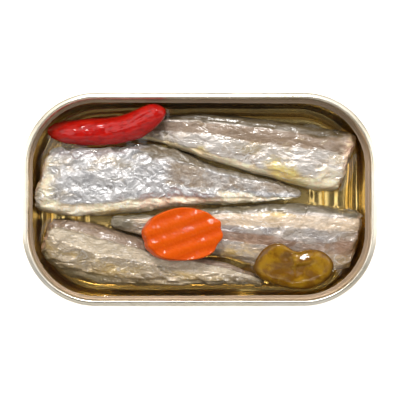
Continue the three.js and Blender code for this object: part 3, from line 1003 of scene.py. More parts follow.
@dataclass
class TinShell:
    """The drawn body with its stepped floor, and what the torn-off lid leaves on its rim."""

    outline: Outline = field(default_factory=Outline)
    height: float = 25.0
    sheet: float = 0.5
    neck: float = 20.9
    rim_top: float = 24.0
    wall_inset: float = 0.9
    wall_taper: float = 0.6
    foot_radius: float = 2.2
    floor_edge: float = 4.2
    floor_steps: tuple[tuple[float, float], ...] = (
        (5.2, 0.5), (6.3, 1.5), (9.6, 1.5), (10.6, 1.1), (13.8, 1.1), (14.8, 1.6), (17.3, 1.6),
        (18.5, 1.15), (19.6, 1.15),
    )
    lip_drop: float = 0.1
    lip_round: float = 0.12
    wall_step: float = 0.8
    seam: tuple[tuple[float, float], ...] = (
        (0.6, 22.6), (0.6, 21.95), (0.3, 21.86), (0.02, 22.1), (0.0, 22.7), (0.0, 23.9), (0.08, 24.34),
        (0.34, 24.6), (0.85, 24.84), (1.4, 25.04), (1.74, 24.94), (1.98, 24.6), (2.1, 23.9), (2.1, 22.4),
        (2.11, 21.5), (2.13, 21.24), (2.26, 21.2), (2.9, 21.2), (2.99, 21.16), (2.95, 21.02),
        (2.4, 20.88), (1.95, 20.95), (1.72, 21.3), (1.7, 22.2), (1.7, 24.2), (1.15, 24.32),
        (0.62, 24.2), (0.6, 23.4), (0.6, 22.6),
    )
    dent: float = 0.045
    dent_size: tuple[float, float] = (7.5, 6.0)
    dent_seed: int = 11
    ledge_insets: tuple[float, float] = (2.08, 2.2)
    ledge_heights: tuple[float, float] = (22.2, 21.6)
    tear_insets: tuple[float, float] = (2.4, 2.95)
    tear: float = 0.06
    tear_size: float = 1.7
    uneven_tear: float = 0.5
    tear_seed: int = 5

    def wall(self, height: Array | float) -> Array | float:
        """How far the wall's outer face stands in from the seam's outline at a height."""
        return self.wall_inset + self.wall_taper * np.maximum(0.0, 1.0 - height / self.neck)

    def foot(self, inset: float, floor: float, radius: float) -> Array:
        """A quarter round from the wall down to the floor, as rows of inset and height."""
        turn = np.linspace(0.0, math.pi / 2, 13)
        return np.stack([inset + radius * (1 - np.cos(turn)), floor + radius * (1 - np.sin(turn))], axis=1)

    def floor_profile(self) -> Array:
        """The floor's upper face from the wall's foot in over its steps, as inset and height."""
        return eased(np.array([(self.floor_edge, self.sheet), *self.floor_steps]))

    def inner_profile(self) -> Array:
        """The lacquered face from the neck down the wall and over the floor to its middle part.

        Returns:
            Rows of inset and height.
        """
        neck = (self.wall(self.neck) + self.sheet, self.neck)
        inset = self.wall(self.foot_radius) + self.sheet
        wall = refined(np.array([neck, (inset, self.foot_radius)]), self.wall_step)
        foot = self.foot(inset, self.sheet, self.foot_radius - self.sheet)
        return np.vstack([wall, foot, self.floor_profile()[1:]])

    def outer_profile(self) -> Array:
        """The bare face from the middle of the underside out to the foot and up to the neck.

        Returns:
            Rows of inset and height.
        """
        inset = self.wall(self.foot_radius)
        under = self.floor_profile()[::-1] - (0.0, self.sheet)
        foot = self.foot(inset, 0.0, self.foot_radius)[::-1]
        neck = (self.wall(self.neck), self.neck)
        wall = refined(np.array([(inset, self.foot_radius), neck]), self.wall_step)
        return np.vstack([under[:-1], foot, wall[1:]])

    def body(self) -> Surface:
        """The body as rings: underside, outer wall, plain rim, inner wall and floor.

        Both faces of the wall are put off together by a smooth noise of the way round and the
        height, as a thin drawn wall is never quite true.

        Returns:
            The surface, with what is inside and the way round and along as values.
        """
        low, inner_face = self.rim_top - self.lip_drop, self.wall_inset + self.sheet
        rim = np.array([
            (self.wall_inset, low), (self.wall_inset + self.lip_round, self.rim_top),
            (inner_face - self.lip_round, self.rim_top), (inner_face, low),
        ])
        outer, inner = self.outer_profile(), self.inner_profile()
        profile = np.vstack([outer, rim, inner])
        inside = np.concatenate([np.zeros(len(outer) + 2), np.ones(len(inner) + 2)])
        edge, _, way = self.outline.round()
        inset, height = profile[:, 0], profile[:, 1]
        wide, tall = self.dent_size
        place = np.stack(np.broadcast_arrays(
            edge[None, :, 0] / wide, edge[None, :, 1] / wide, height[:, None] / tall), axis=-1)
        free = smoothstep(0.3, 4.0, height) * smoothstep(self.rim_top, self.neck - 2.0, height)
        waver = Grain(self.dent_seed).layered(place, 2) * self.dent * free[:, None]
        points = self.outline.rings(inset[:, None] + waver, height)
        run = np.stack(np.broadcast_arrays(way[None], way_along(profile)[:, None], 0.0), axis=-1)
        return Surface(points, values={
            "inside": np.broadcast_to(inside[:, None], waver.shape).copy(), "run": run.copy(),
        })

    def ring(self) -> Surface:
        """The seam as rings: skirt foot, rounded top, chuck wall and the ledge's torn edge.

        The torn edge is put in and out by noise of the way round, fading up the ledge, and is
        wider towards the right end.

        Returns:
            The surface, with the ledge and the way round and along as values.
        """
        profile = eased(np.array(self.seam), 2)[:-1]
        profile = np.clip(profile, (0.0, 0.0), (9.0, self.height))
        edge, _, way = self.outline.round()
        inset, height = profile[:, 0], profile[:, 1]
        bits = np.stack([edge[:, 0] / self.tear_size, edge[:, 1] / self.tear_size, 0 * way], axis=-1)
        frayed = self.tear * Grain(self.tear_seed).layered(bits)
        uneven = self.uneven_tear * edge[:, 0] / self.outline.length
        torn = smoothstep(*self.tear_insets, inset)[:, None] * (frayed + uneven)[None]
        points = self.outline.rings(inset[:, None] + torn, height)
        run = np.stack(np.broadcast_arrays(way[None], way_along(profile)[:, None], 0.0), axis=-1)
        ledge = smoothstep(*self.ledge_insets, inset) * smoothstep(*self.ledge_heights, height)
        return Surface(points, looped=True, values={
            "run": run.copy(), "ledge": np.broadcast_to(ledge[:, None], torn.shape).copy(),
        })

    def build(self) -> None:
        """Makes the body and the ring and dresses them."""
        add_piece("tin_body_drawn", self.body().mesh("tin_body_drawn"), LacqueredMetal().material(),
                  "tin_body")
        add_piece("lid_ring_seamed", self.ring().mesh("lid_ring_seamed"), SatinMetal().material(),
                  "lid_ring")


@dataclass(frozen=True)
class Patch:
    """A soft oval patch of one kind of skin, by its middle and half sizes in the tin's plane."""

    zone: Zone
    x: float
    y: float
    half_length: float
    half_width: float
    turn: float = 0.0
    strength: float = 1.0

    def weight(self, points: Array) -> Array:
        """The patch's weight: strength times exp(-(distance in half sizes)^2).

        Args:
            points: the fish's points.

        Returns:
            One weight for each point.
        """
        turn = math.radians(self.turn)
        from_x, from_y = points[..., 0] - self.x, points[..., 1] - self.y
        along = (from_x * math.cos(turn) + from_y * math.sin(turn)) / self.half_length
        across = (from_y * math.cos(turn) - from_x * math.sin(turn)) / self.half_width
        return self.strength * np.exp(-(along**2 + across**2))


@dataclass(frozen=True)
class Band:
    """A lengthwise band of one kind of skin: its middle and half width across the fish.

    Across runs from 0 at the fish's north edge to 1 at its south edge, along from 0 at the cut
    end to 1 at the tail, and the middle moves evenly from its place at the cut end to its place
    at the tail.
    """

    zone: Zone
    middle: float
    half_width: float
    strength: float = 1.0
    drift: float = 0.0
    start: float = -0.1
    stop: float = 1.1
    fade: float = 0.06

    def weight(self, along: Array, across: Array) -> Array:
        """The band's weight: a flat-topped bell across, faded in and out along.

        Args:
            along: share of the way from the cut end to the tail.
            across: share of the way from the north edge to the south edge.

        Returns:
            One weight for each place.
        """
        away = np.abs(across - self.middle - self.drift * along) / self.half_width
        fade_in = smoothstep(self.start - self.fade, self.start + self.fade, along)
        fade_out = 1.0 - smoothstep(self.stop - self.fade, self.stop + self.fade, along)
        return self.strength * (1.0 - smoothstep(0.55, 1.25, away)) * (fade_in * fade_out)


@dataclass
class Sardine:
    """One headless sardine, from its cut end to its tail.

    A station is x, y, half width, crown height and thickness. The section is a rounded box,
    squarer above than below, with folds and creases of skin on it.
    """

    node: str
    stations: tuple[tuple[float, float, float, float, float], ...]
    slant: float
    roll: float
    seed: float
    finish: WetFishSkin
    zones: tuple[Band | Patch, ...] = ()
    rough_skin: float = 1.0
    rows: int = 330
    columns: int = 190
    keel: float = 1.9
    square_top: float = 3.8
    square_keel: float = 2.5
    groove: float = 0.35
    groove_angle: float = 2.2
    ragged: float = 0.55
    sleek: float = 0.4
    bunching: float = 0.16
    end_scales: tuple[tuple[float, float], ...] = (
        (0.0, 0.9), (0.004, 0.96), (0.012, 0.99), (0.02, 1.0), (0.975, 1.0), (0.992, 0.85), (1.0, 0.5),
    )
    fold: float = 0.22
    ridge: float = 0.12
    coarse_pitch: float = 4.6
    coarse_share: float = 0.55
    crumple_pitch: float = 2.0
    crumple_share: float = 0.2
    fray_seed: int = 41
    flesh_seed: int = 77
    cut_rings: int = 26
    cut_depth: float = 0.06

    def places(self) -> tuple[Array, Array]:
        """Rows from the cut end to the tail, close together at the ends, and angles round.

        The angles start and end at the keel, and three quarters of them lie on the upper half.

        Returns:
            Shares of the way along, and angles.
        """
        even = np.linspace(0.0, 1.0, self.rows)
        along = even - self.bunching * np.sin(2 * math.pi * even) / (2 * math.pi)
        share = np.arange(self.columns) / self.columns
        quarter = math.pi / 2
        low = quarter * np.clip(share / 0.125, 0, 1) + quarter * np.clip((share - 0.875) / 0.125, 0, 1)
        return along, -quarter + low + math.pi * np.clip((share - 0.125) / 0.75, 0, 1)

    def scale_at_ends(self, along: Array) -> Array:
        """How much the section draws in to round the cut end and the tail."""
        return np.interp(along, *np.array(self.end_scales).T)

    def relief(
        self, along: Array, angle: Array, length: Array, girth: Array, calm: Array,
    ) -> tuple[Array, Array]:
        """The skin's relief in millimetres, and how creased it is from -1 to 1.

        Broad folds are two crossed sines. On them lie slanting ridged folds of 8 mm and crumpled
        facets of 4.6 and 2 mm. A groove follows the flank.

        Args:
            along: share of the way from the cut end, as a grid.
            angle: angle round the section, as a grid.
            length: millimetres along the skin.
            girth: millimetres round the skin from the keel.
            calm: how much of the crumpling is left, less on the sleek bands.

        Returns:
            The relief and the crease grids.
        """
        grain = Grain(int(self.seed * 10) + 3)
        folds = np.sin(along * 37 + 3 * angle + self.seed * 5) * np.sin(along * 17 - 2 * angle + self.seed)
        groove = bell(angle, self.groove_angle, 0.16)
        ends = np.minimum(1.0, 12 * along * (1 - along))
        slanted = np.stack([length / 8.0 + girth / 14.0, girth / 5.0, 0 * length + self.seed], axis=-1)
        ridges = grain.ridged(slanted, 2)
        coarse = grain.facets(girth * 1.25 + 0.2 * length, length * 0.8, self.coarse_pitch, 0.36)
        crumple = Grain(grain.seed + 7).facets(girth * 1.4, length * 0.9, self.crumple_pitch, 0.4)
        crinkled = self.rough_skin * smoothstep(0.0, 0.35, np.sin(angle) + 0.45) * calm
        crumpled = (
            self.ridge * ridges + self.coarse_share * coarse
            + self.crumple_share * self.rough_skin * crumple
        )
        relief = self.fold * ends * folds - self.groove * ends * groove + crinkled * crumpled
        crease = (0.9 * ridges + 1.0 * coarse + 0.6 * crumple) * calm
        return relief, np.clip(crease, -1.0, 1.0)

    def surface(self) -> Surface:
        """The fish as rings across its axis, closed at both ends.

        The section's half width and half height take the powers 2/3.8 above and 2/2.5 below of
        cosine and sine, turned by the roll. The cut end is slanted and ragged along the heading.

        Returns:
            The closed surface, with the creases and the zones' weights as values.
        """
        stations = np.array(self.stations)
        along, angle = self.places()
        place = spline(stations[:, [0, 1, 3]], along)
        girths = spline(np.c_[stations[:, [2, 4]], 0 * stations[:, 0]], along)
        heading = np.gradient(place[:, :2], along, axis=0)
        heading /= np.linalg.norm(heading, axis=1, keepdims=True)
        across = np.stack([-heading[:, 1], heading[:, 0]], axis=1)
        scale = self.scale_at_ends(along)
        half, tall = (girths[:, 0] * scale)[:, None], (girths[:, 1] / 2 * scale)[:, None]
        sine, cosine = np.sin(angle)[None], np.cos(angle)[None]
        power = np.where(sine > 0, self.square_top, self.square_keel)
        side_shape, up_shape = squared(cosine, power), squared(sine, power)
        rough = np.stack([side_shape * half, up_shape * tall + 0 * half], axis=-1)
        steps = np.linalg.norm(np.diff(rough, axis=1, prepend=rough[:, :1]), axis=-1)
        girth = np.cumsum(steps, axis=1)
        length = np.broadcast_to(way_along(place)[:, None], girth.shape)
        along_grid = np.broadcast_to(along[:, None], girth.shape)
        angle_grid = np.broadcast_to(angle[None], girth.shape)
        north = np.sign(across[:, 1])[:, None]
        spread = 0.5 - 0.5 * north * side_shape
        bands = [part.weight(along_grid, spread) for part in self.zones if isinstance(part, Band)]
        calm = 1.0 - self.sleek * np.clip(np.max(bands, axis=0), 0.0, 1.0)
        relief, crease = self.relief(along_grid, angle_grid, length, girth, calm)
        side = side_shape * (half + relief)
        up = up_shape * (tall + relief)
        turn = math.radians(self.roll)
        level = up * math.cos(turn) + side * math.sin(turn) * north
        threads = np.stack([side / 1.6, up / 1.6, 0 * side + self.seed], axis=-1)
        frayed = Grain(self.fray_seed).layered(threads, 3)
        torn = self.ragged * (np.sin(3 * angle + self.seed) * np.cos(5 * angle))[None] + 0.5 * frayed
        cut_end = np.maximum(0.0, 1.0 - along / self.cut_depth)[:, None]
        shift = cut_end * (torn - self.slant * side * np.sign(heading[:, :1]))
        middle = (place[:, 2] - girths[:, 1] / 2)[:, None]
        points = np.stack([
            place[:, :1] + across[:, :1] * side + heading[:, :1] * shift,
            place[:, 1:2] + across[:, 1:] * side + heading[:, 1:] * shift,
            np.maximum(self.keel, middle + level),
        ], axis=-1)
        values = {"crease": crease}
        for zone in Zone:
            values[zone.value] = np.zeros(girth.shape)
        for part in self.zones:
            own = part.weight(along_grid, spread) if isinstance(part, Band) else part.weight(points)
            values[part.zone.value] = np.clip(values[part.zone.value] + own, 0.0, 1.2)
        lower = smoothstep(0.15, -0.35, sine) + 0 * half
        values[Zone.CREAM.value] = np.maximum(values[Zone.CREAM.value], 0.7 * lower)
        return self.with_cut(points, values)

    def with_cut(self, points: Array, values: dict[str, Array]) -> Surface:
        """Adds the cut face: rings drawn in to its middle, bulging out unevenly, all flesh.

        Args:
            points: the skin's grid, the cut end's ring first.
            values: the skin's values on its points.

        Returns:
            The closed surface.
        """
        ring = points[0]
        middle = ring.mean(axis=0)
        inward = points[6].mean(axis=0) - middle
        inward /= np.linalg.norm(inward)
        share = np.linspace(0.06, 0.97, self.cut_rings)[:, None, None]
        flat = middle + (ring - middle)[None] * share
        bits = Grain(self.flesh_seed).layered(flat / 1.5, 3)[..., None]
        bulge = (0.55 * (1 - share**4) + 0.45 * bits * (1 - share**6)) - 0.5 * bell(share, 0.9, 0.06)
        face = flat - inward * bulge
        count = len(share)
        grown = {}
        for key, value in values.items():
            first = np.broadcast_to(value[:1], (count, *value.shape[1:])).copy()
            grown[key] = np.concatenate([first, value])
        grown[Zone.FLESH.value] = np.concatenate([
            np.ones((count, ring.shape[0])),
            values[Zone.FLESH.value] + bell(np.arange(len(points)), 0.0, 3.0)[:, None] * 0.6,
        ]).clip(0, 1)
        return Surface(np.concatenate([face, points]), values=grown)

    def build(self) -> Surface:
        """Makes the fish and dresses it.

        Returns:
            Its surface, which the oil's skin climbs.
        """
        surface = self.surface()
        name = f"{self.node}_skin"
        add_piece(name, surface.mesh(name), self.finish.material(), self.node)
        return surface


def sardines() -> list[Sardine]:
    """The four fish, each with its own bands and patches of skin.

    Returns:
        The fish, from the back of the tin to its front.
    """
    return [
        Sardine(
            "sardine_back_right",
            (
                (46.2, 11.6, 8.9, 19.3, 17.2), (38, 12.7, 9.6, 19.9, 17.9), (28, 14.8, 9.2, 20, 18),
                (16, 17.2, 8.4, 19.8, 17.6), (2, 20.1, 6.8, 19, 15.6), (-9, 21.8, 5, 17, 12.4),
                (-18, 22.1, 3, 14.1, 8.4), (-27, 21.8, 1.9, 11.9, 5.2), (-34, 21.6, 1.5, 11.7, 4),
            ),
            slant=0.2, roll=4, seed=0.4,
            finish=WetFishSkin(
                "skin_back_right", silver=(0.68, 0.62, 0.56), bloom=(0.58, 0.50, 0.43),
                shadow=(0.24, 0.18, 0.11), back=(0.085, 0.055, 0.018), blush=(0.21, 0.135, 0.078),
                gold=(0.90, 0.62, 0.19), cream=(0.95, 0.73, 0.47), crinkle=0.8,
            ),
            rough_skin=0.75, sleek=0.45,
            zones=(
                Band(Zone.BACK, -0.02, 0.2, 1.0, start=0.1),
                Band(Zone.BLUSH, 0.2, 0.16, 1.0, drift=0.3, start=0.03),
                Band(Zone.CREAM, 0.97, 0.12, 0.95),
                Patch(Zone.GOLD, 25.5, 8.6, 7.5, 3.0, -22.0, 1.0),
                Patch(Zone.GOLD, 1.0, 15.5, 4.0, 1.5, -25.0, 0.5),
                Patch(Zone.CREAM, 39.0, 7.0, 6.0, 4.0, 0.0, 0.6),
                Patch(Zone.FLESH, 47.0, 15.5, 5.0, 2.0, 78.0, 1.2),
                Patch(Zone.BACK, 42.0, 21.5, 8.0, 2.0, -8.0, 0.9),
            ),
        ),
        Sardine(
            "sardine_middle_left",
            (
                (-49.6, 6.6, 9.8, 19, 16.8), (-43, 5.6, 10.3, 19.8, 17.8), (-33, 5.5, 10.4, 20, 18),
                (-24, 6.1, 10.3, 19.9, 17.9), (-15, 7, 10.1, 19.6, 17.4), (-6, 6.2, 8.3, 19.2, 16.2),
                (4, 4.5, 6, 18.6, 13.6), (15, 3.5, 4.4, 17.9, 11), (24, 2.7, 3.1, 17.3, 8),
                (32, 1.6, 1.2, 16.9, 4.4),
            ),
            slant=-0.12, roll=0, seed=1.9,
            finish=WetFishSkin(
                "skin_middle_left", silver=(0.56, 0.54, 0.53), bloom=(0.40, 0.385, 0.385),
                warm=(0.50, 0.43, 0.35), blush=(0.23, 0.165, 0.105), back=(0.13, 0.095, 0.05),
                cream=(1.0, 0.80, 0.55), glint=0.4, vein=0.8, roundness=1.5,
            ),
            rough_skin=1.15,
            zones=(
                Band(Zone.BACK, 0.0, 0.2, 0.9, start=0.42),
                Band(Zone.BLUSH, 0.4, 0.26, 0.75, start=0.5),
                Band(Zone.CREAM, 0.95, 0.14, 0.9, start=0.02),
                Patch(Zone.GOLD, -29.0, -4.0, 7.0, 1.5, 0.0, 0.6),
                Patch(Zone.CREAM, -48.0, 6.0, 2.0, 9.0, 0.0, 0.6),
                Patch(Zone.GOLD, -48.5, 9.0, 1.2, 3.0, 0.0, 0.5),
                Patch(Zone.CREAM, 12.0, 0.8, 9.0, 2.2, -8.0, 0.7),
                # painted shade: the back's dark tint over the tail tip, where it lies under the back-right
                # fish
                Patch(Zone.BACK, 31.0, 2.2, 4.0, 2.2, -10.0, 0.8),
            ),
        ),
        Sardine(
            "sardine_middle_right",
            (
                (49.2, -12.5, 8.9, 18, 15.9), (40, -12.6, 10, 18.3, 16.3), (31, -12.1, 10.5, 18.3, 16.3),
                (22, -11.6, 10.2, 18.1, 16.1), (12, -10.8, 8.7, 17.7, 15.2), (2, -9.8, 6.9, 17.3, 13.7),
                (-8, -9.3, 5.1, 17, 11.6), (-17, -8.4, 3.5, 16.9, 8.8), (-24, -7.4, 2.2, 17, 6.4),
                (-28, -7.1, 1.6, 17.1, 5),
            ),
            slant=0.2, roll=7, seed=3.1,
            finish=WetFishSkin(
                "skin_middle_right", silver=(0.54, 0.47, 0.41), bloom=(0.42, 0.37, 0.35),
                shadow=(0.20, 0.15, 0.10), warm=(0.40, 0.28, 0.17), blush=(0.235, 0.13, 0.075),
                cream=(0.56, 0.42, 0.28), crinkle=0.75,
            ),
            rough_skin=0.85, sleek=0.45,
            zones=(
                Band(Zone.BACK, 0.0, 0.12, 0.9),
                Band(Zone.CREAM, 0.24, 0.13, 0.85),
                Band(Zone.BLUSH, 0.56, 0.10, 0.85, start=0.28, stop=0.75),
                Band(Zone.BLUSH, 0.64, 0.12, 0.5, stop=0.3),
                Band(Zone.CREAM, 0.85, 0.2, 0.5),
                Patch(Zone.BLUSH, 46.0, -15.0, 3.0, 4.0, 0.0, 0.6),
                Patch(Zone.BACK, 33.0, -10.5, 6.0, 1.2, 4.0, 0.45),
                Patch(Zone.GOLD, 26.0, -4.6, 6.0, 2.2, 0.0, 0.55),
                Patch(Zone.GOLD, 12.0, -17.5, 8.0, 3.5, -8.0, 0.6),
                Patch(Zone.BACK, -25.0, -7.5, 5.0, 3.0, 0.0, 0.85),
            ),
        ),
        Sardine(
            "sardine_front_left",
            (
                (-48, -11.6, 5.4, 17.7, 14.4), (-44.3, -13.4, 7.7, 18.2, 16.1), (-38, -15.9, 9, 18.4, 16.4),
                (-30, -18.1, 8.9, 18.3, 16.3), (-22, -19.5, 8, 17.8, 15.5), (-13, -21.1, 6.2, 17.3, 13.8),
                (-4, -22.3, 4.9, 17.2, 12), (6, -23.3, 3.7, 17.3, 9.6), (14, -24.7, 2.3, 16.6, 6.4),
                (20.5, -26.4, 1, 14.2, 3.4),
            ),
            slant=0.1, roll=6, seed=4.6,
            finish=WetFishSkin(
                "skin_front_left", silver=(0.42, 0.33, 0.22), bloom=(0.33, 0.26, 0.18),
                shadow=(0.10, 0.07, 0.03), warm=(0.29, 0.205, 0.10), blush=(0.20, 0.13, 0.085),
                cream=(0.48, 0.39, 0.275), glint=0.35, vein=0.25, sleek=0.5,
            ),
            rough_skin=1.15, sleek=0.65,
            zones=(
                Band(Zone.BLUSH, 0.06, 0.16, 1.0),
                Band(Zone.CREAM, 0.33, 0.13, 1.2),
                Band(Zone.GOLD, 0.74, 0.22, 0.3, stop=0.9),
                Band(Zone.BACK, 1.0, 0.2, 0.55),
                Patch(Zone.CREAM, -2.0, -21.5, 9.0, 2.6, -10.0, 0.9),
            ),
        ),
    ]


@dataclass
class Chili:
    """A pickled red chili, tip in the corner and stem end up against the rim.

    A station is x, y, height of the axis and radius.
    """

    stations: tuple[tuple[float, float, float, float], ...] = (
        (-47.8, 21.7, 15.8, 0.9), (-46.2, 21.5, 15.8, 2.3), (-42.4, 21.2, 15.9, 3.5), (-35, 21.2, 16, 4.1),
        (-27, 21.7, 16.2, 4.25), (-20.5, 23.2, 17.8, 4.3), (-15.8, 25.5, 20, 3.9), (-13.3, 27, 21.6, 3.2),
        (-12.4, 28, 22.3, 2.4), (-12.1, 28.5, 22.6, 1.2),
    )
    flatten: float = 0.92
    flat_spots: tuple[tuple[float, float, float], ...] = (
        (0.13, 1.25, 0.03), (0.30, 1.05, 0.04), (0.44, 1.22, 0.06), (0.53, 1.42, 0.03),
        (0.67, 1.2, 0.05), (0.84, 1.3, 0.04),
    )
    flat_depth: float = 0.17
    flat_width: float = 0.3
    least_radius: float = 0.3
    fold: float = 0.03
    dent: float = 0.16
    dent_seed: int = 21
    wrinkle: float = 0.02
    wrinkle_seed: int = 22
    noise_radius: float = 3.4
    crease_depth: float = 0.25
    rows: int = 260
    columns: int = 96

    def surface(self) -> Surface:
        """Rings round a curved axis, flattened, with lengthwise folds, dents and fine wrinkles.

        Each flat spot is a share of the length, an angle and a spread, where the skin has sunk by
        depth * exp(-((turn - angle) / width)**2), which takes its curve away.

        Returns:
            The closed surface, with millimetres along and round the skin as values.
        """
        stations = np.array(self.stations)
        along = np.linspace(0.0, 1.0, self.rows)
        place = spline(stations[:, :3], along)
        radii = spline(np.c_[stations[:, 3], 0 * stations[:, :2]], along)[:, 0]
        radius = np.maximum(self.least_radius, radii)
        heading = np.gradient(place, along, axis=0)
        heading /= np.linalg.norm(heading, axis=1, keepdims=True)
        across = np.stack([-heading[:, 1], heading[:, 0], 0 * along], axis=1)
        across /= np.linalg.norm(across, axis=1, keepdims=True)
        up = np.cross(heading, across)
        angle = np.arange(self.columns) / self.columns * 2 * math.pi - math.pi / 2
        turn = np.broadcast_to(angle[None], (self.rows, self.columns))
        step = np.broadcast_to(along[:, None], turn.shape)
        fold = 1 + self.fold * np.sin(3 * turn + 9 * step)
        tall = radius[:, None]
        length = np.broadcast_to(way_along(place)[:, None], turn.shape)
        girth = tall * turn
        east, north = self.noise_radius * np.cos(turn), self.noise_radius * np.sin(turn)
        around = np.stack([length / 6.0, east / 2.6, north / 2.6], axis=-1)
        dents = self.dent * Grain(self.dent_seed).layered(around, 2)
        small = np.stack([length / 1.7, east, north], axis=-1)
        wrinkles = self.wrinkle * Grain(self.wrinkle_seed).layered(small, 2)
        for middle, angle_there, spread in self.flat_spots:
            sunken = bell(step, middle, spread) * bell(turn, angle_there, self.flat_width)
            wrinkles = wrinkles - self.flat_depth * sunken
        crease = -self.crease_depth * bell(turn + 0.8 * step, 1.9, 0.14) * bell(step, 0.66, 0.2)
        ends = smoothstep(0.0, 0.12, step) * (1 - smoothstep(0.9, 1.0, step))
        reach = tall * fold + ends * (dents + wrinkles + crease)
        points = (
            place[:, None]
            + across[:, None] * (reach * np.cos(turn))[..., None]
            + up[:, None] * (reach * np.sin(turn) * self.flatten)[..., None]
        )
        return Surface(points, values={"skin": np.stack([length, girth, 0 * girth], axis=-1)})

    def build(self) -> Surface:
        """Makes the chili and dresses it.

        Returns:
            Its surface, which the oil's skin climbs.
        """
        surface = self.surface()
        add_piece("chili_pod", surface.mesh("chili_pod"), ChiliSkin().material(), "chili")
        return surface


@dataclass
class CarrotSlice:
    """An oblique oval slice of carrot, cut top and bottom by a ridged blade."""

    x: float = -5.5
    y: float = -11.0
    half_length: float = 11.7
    half_width: float = 8.3
    underside: float = 18.0
    thickness: float = 3.9
    ridge_pitch: float = 4.4
    ridge_depth: float = 0.45
    ridge_angle: float = 19.0
    lean: float = 1.6
    squareness: float = 2.15
    softening: float = 0.42
    scallop: float = 0.024
    ridge_bend: float = 0.35
    roughness: float = 0.06
    edge_round: float = 0.45
    seed: int = 31
    face_rings: int = 90
    columns: int = 260

    def surface(self) -> Surface:
        """Rings from the middle of the underside, round the edge, to the middle of the top.

        The slice's faces are a cosine wave across the ridges, and its outline is notched where
        the furrows run out and shifts with height, because the cut runs at a slant.

        Returns:
            The closed surface, with the furrows, where the finish paints shade, as a value.
        """
        inner = 1 - (1 - np.linspace(0.02, 1.0, self.face_rings)) ** 1.25
        rim = np.linspace(-1.0, 1.0, 15)[1:-1]
        out = np.concatenate([inner, np.ones(len(rim)), inner[::-1]])
        level = np.concatenate([-np.ones(len(inner)), rim, np.ones(len(inner))])[:, None]
        angle = (np.arange(self.columns) / self.columns * 2 * math.pi)[None]
        uneven = 1 + 0.02 * np.sin(2 * angle + 0.7) + 0.015 * np.sin(5 * angle)
        x = self.half_length * uneven * squared(np.cos(angle), self.squareness) * out[:, None]
        y = self.half_width * uneven * squared(np.sin(angle), self.squareness) * out[:, None]
        turn = math.radians(self.ridge_angle)
        edge_across = (
            self.half_width * np.sin(angle) * math.cos(turn)
            - self.half_length * np.cos(angle) * math.sin(turn)
        )
        at_ends = smoothstep(0.6, 0.95, np.abs(np.cos(angle)))
        at_rim = smoothstep(0.7, 1.0, out)[:, None]
        notches = np.cos(2 * math.pi * edge_across / self.ridge_pitch)
        notched = 1 + self.scallop * notches * at_ends * at_rim
        x, y = x * notched, y * notched
        across = y * math.cos(turn) - x * math.sin(turn)
        grain = Grain(self.seed)
        bend = self.ridge_bend * grain.smooth(np.stack([x / 9, y / 9, 0 * x], axis=-1))
        phase = 2 * math.pi * (across + bend) / self.ridge_pitch
        wave = self.softening * self.ridge_depth * np.cos(phase)
        round_off = self.edge_round * smoothstep(0.95, 1.0, out)[:, None] ** 2
        z = level * (self.thickness / 2 - round_off) + wave
        z = z + self.roughness * grain.layered(np.stack([x / 2.2, y / 2.2, z / 2.2], axis=-1), 3)
        shift = self.lean * z / self.thickness
        middle = self.underside + self.thickness / 2 + self.ridge_depth
        points = np.stack([self.x + x + shift, self.y + y + 0.3 * shift, middle + z], axis=-1)
        # mask of the furrows, where the finish paints shade
        furrow = smoothstep(0.25, -0.85, np.cos(phase) * np.sign(level + 1e-6)) + 0 * x
        return Surface(points, values={"furrow": furrow})

    def build(self) -> None:
        """Makes the slice and dresses it."""
        add_piece("carrot_crinkle", self.surface().mesh("carrot_crinkle"), CarrotFlesh().material(),
                  "carrot_slice")


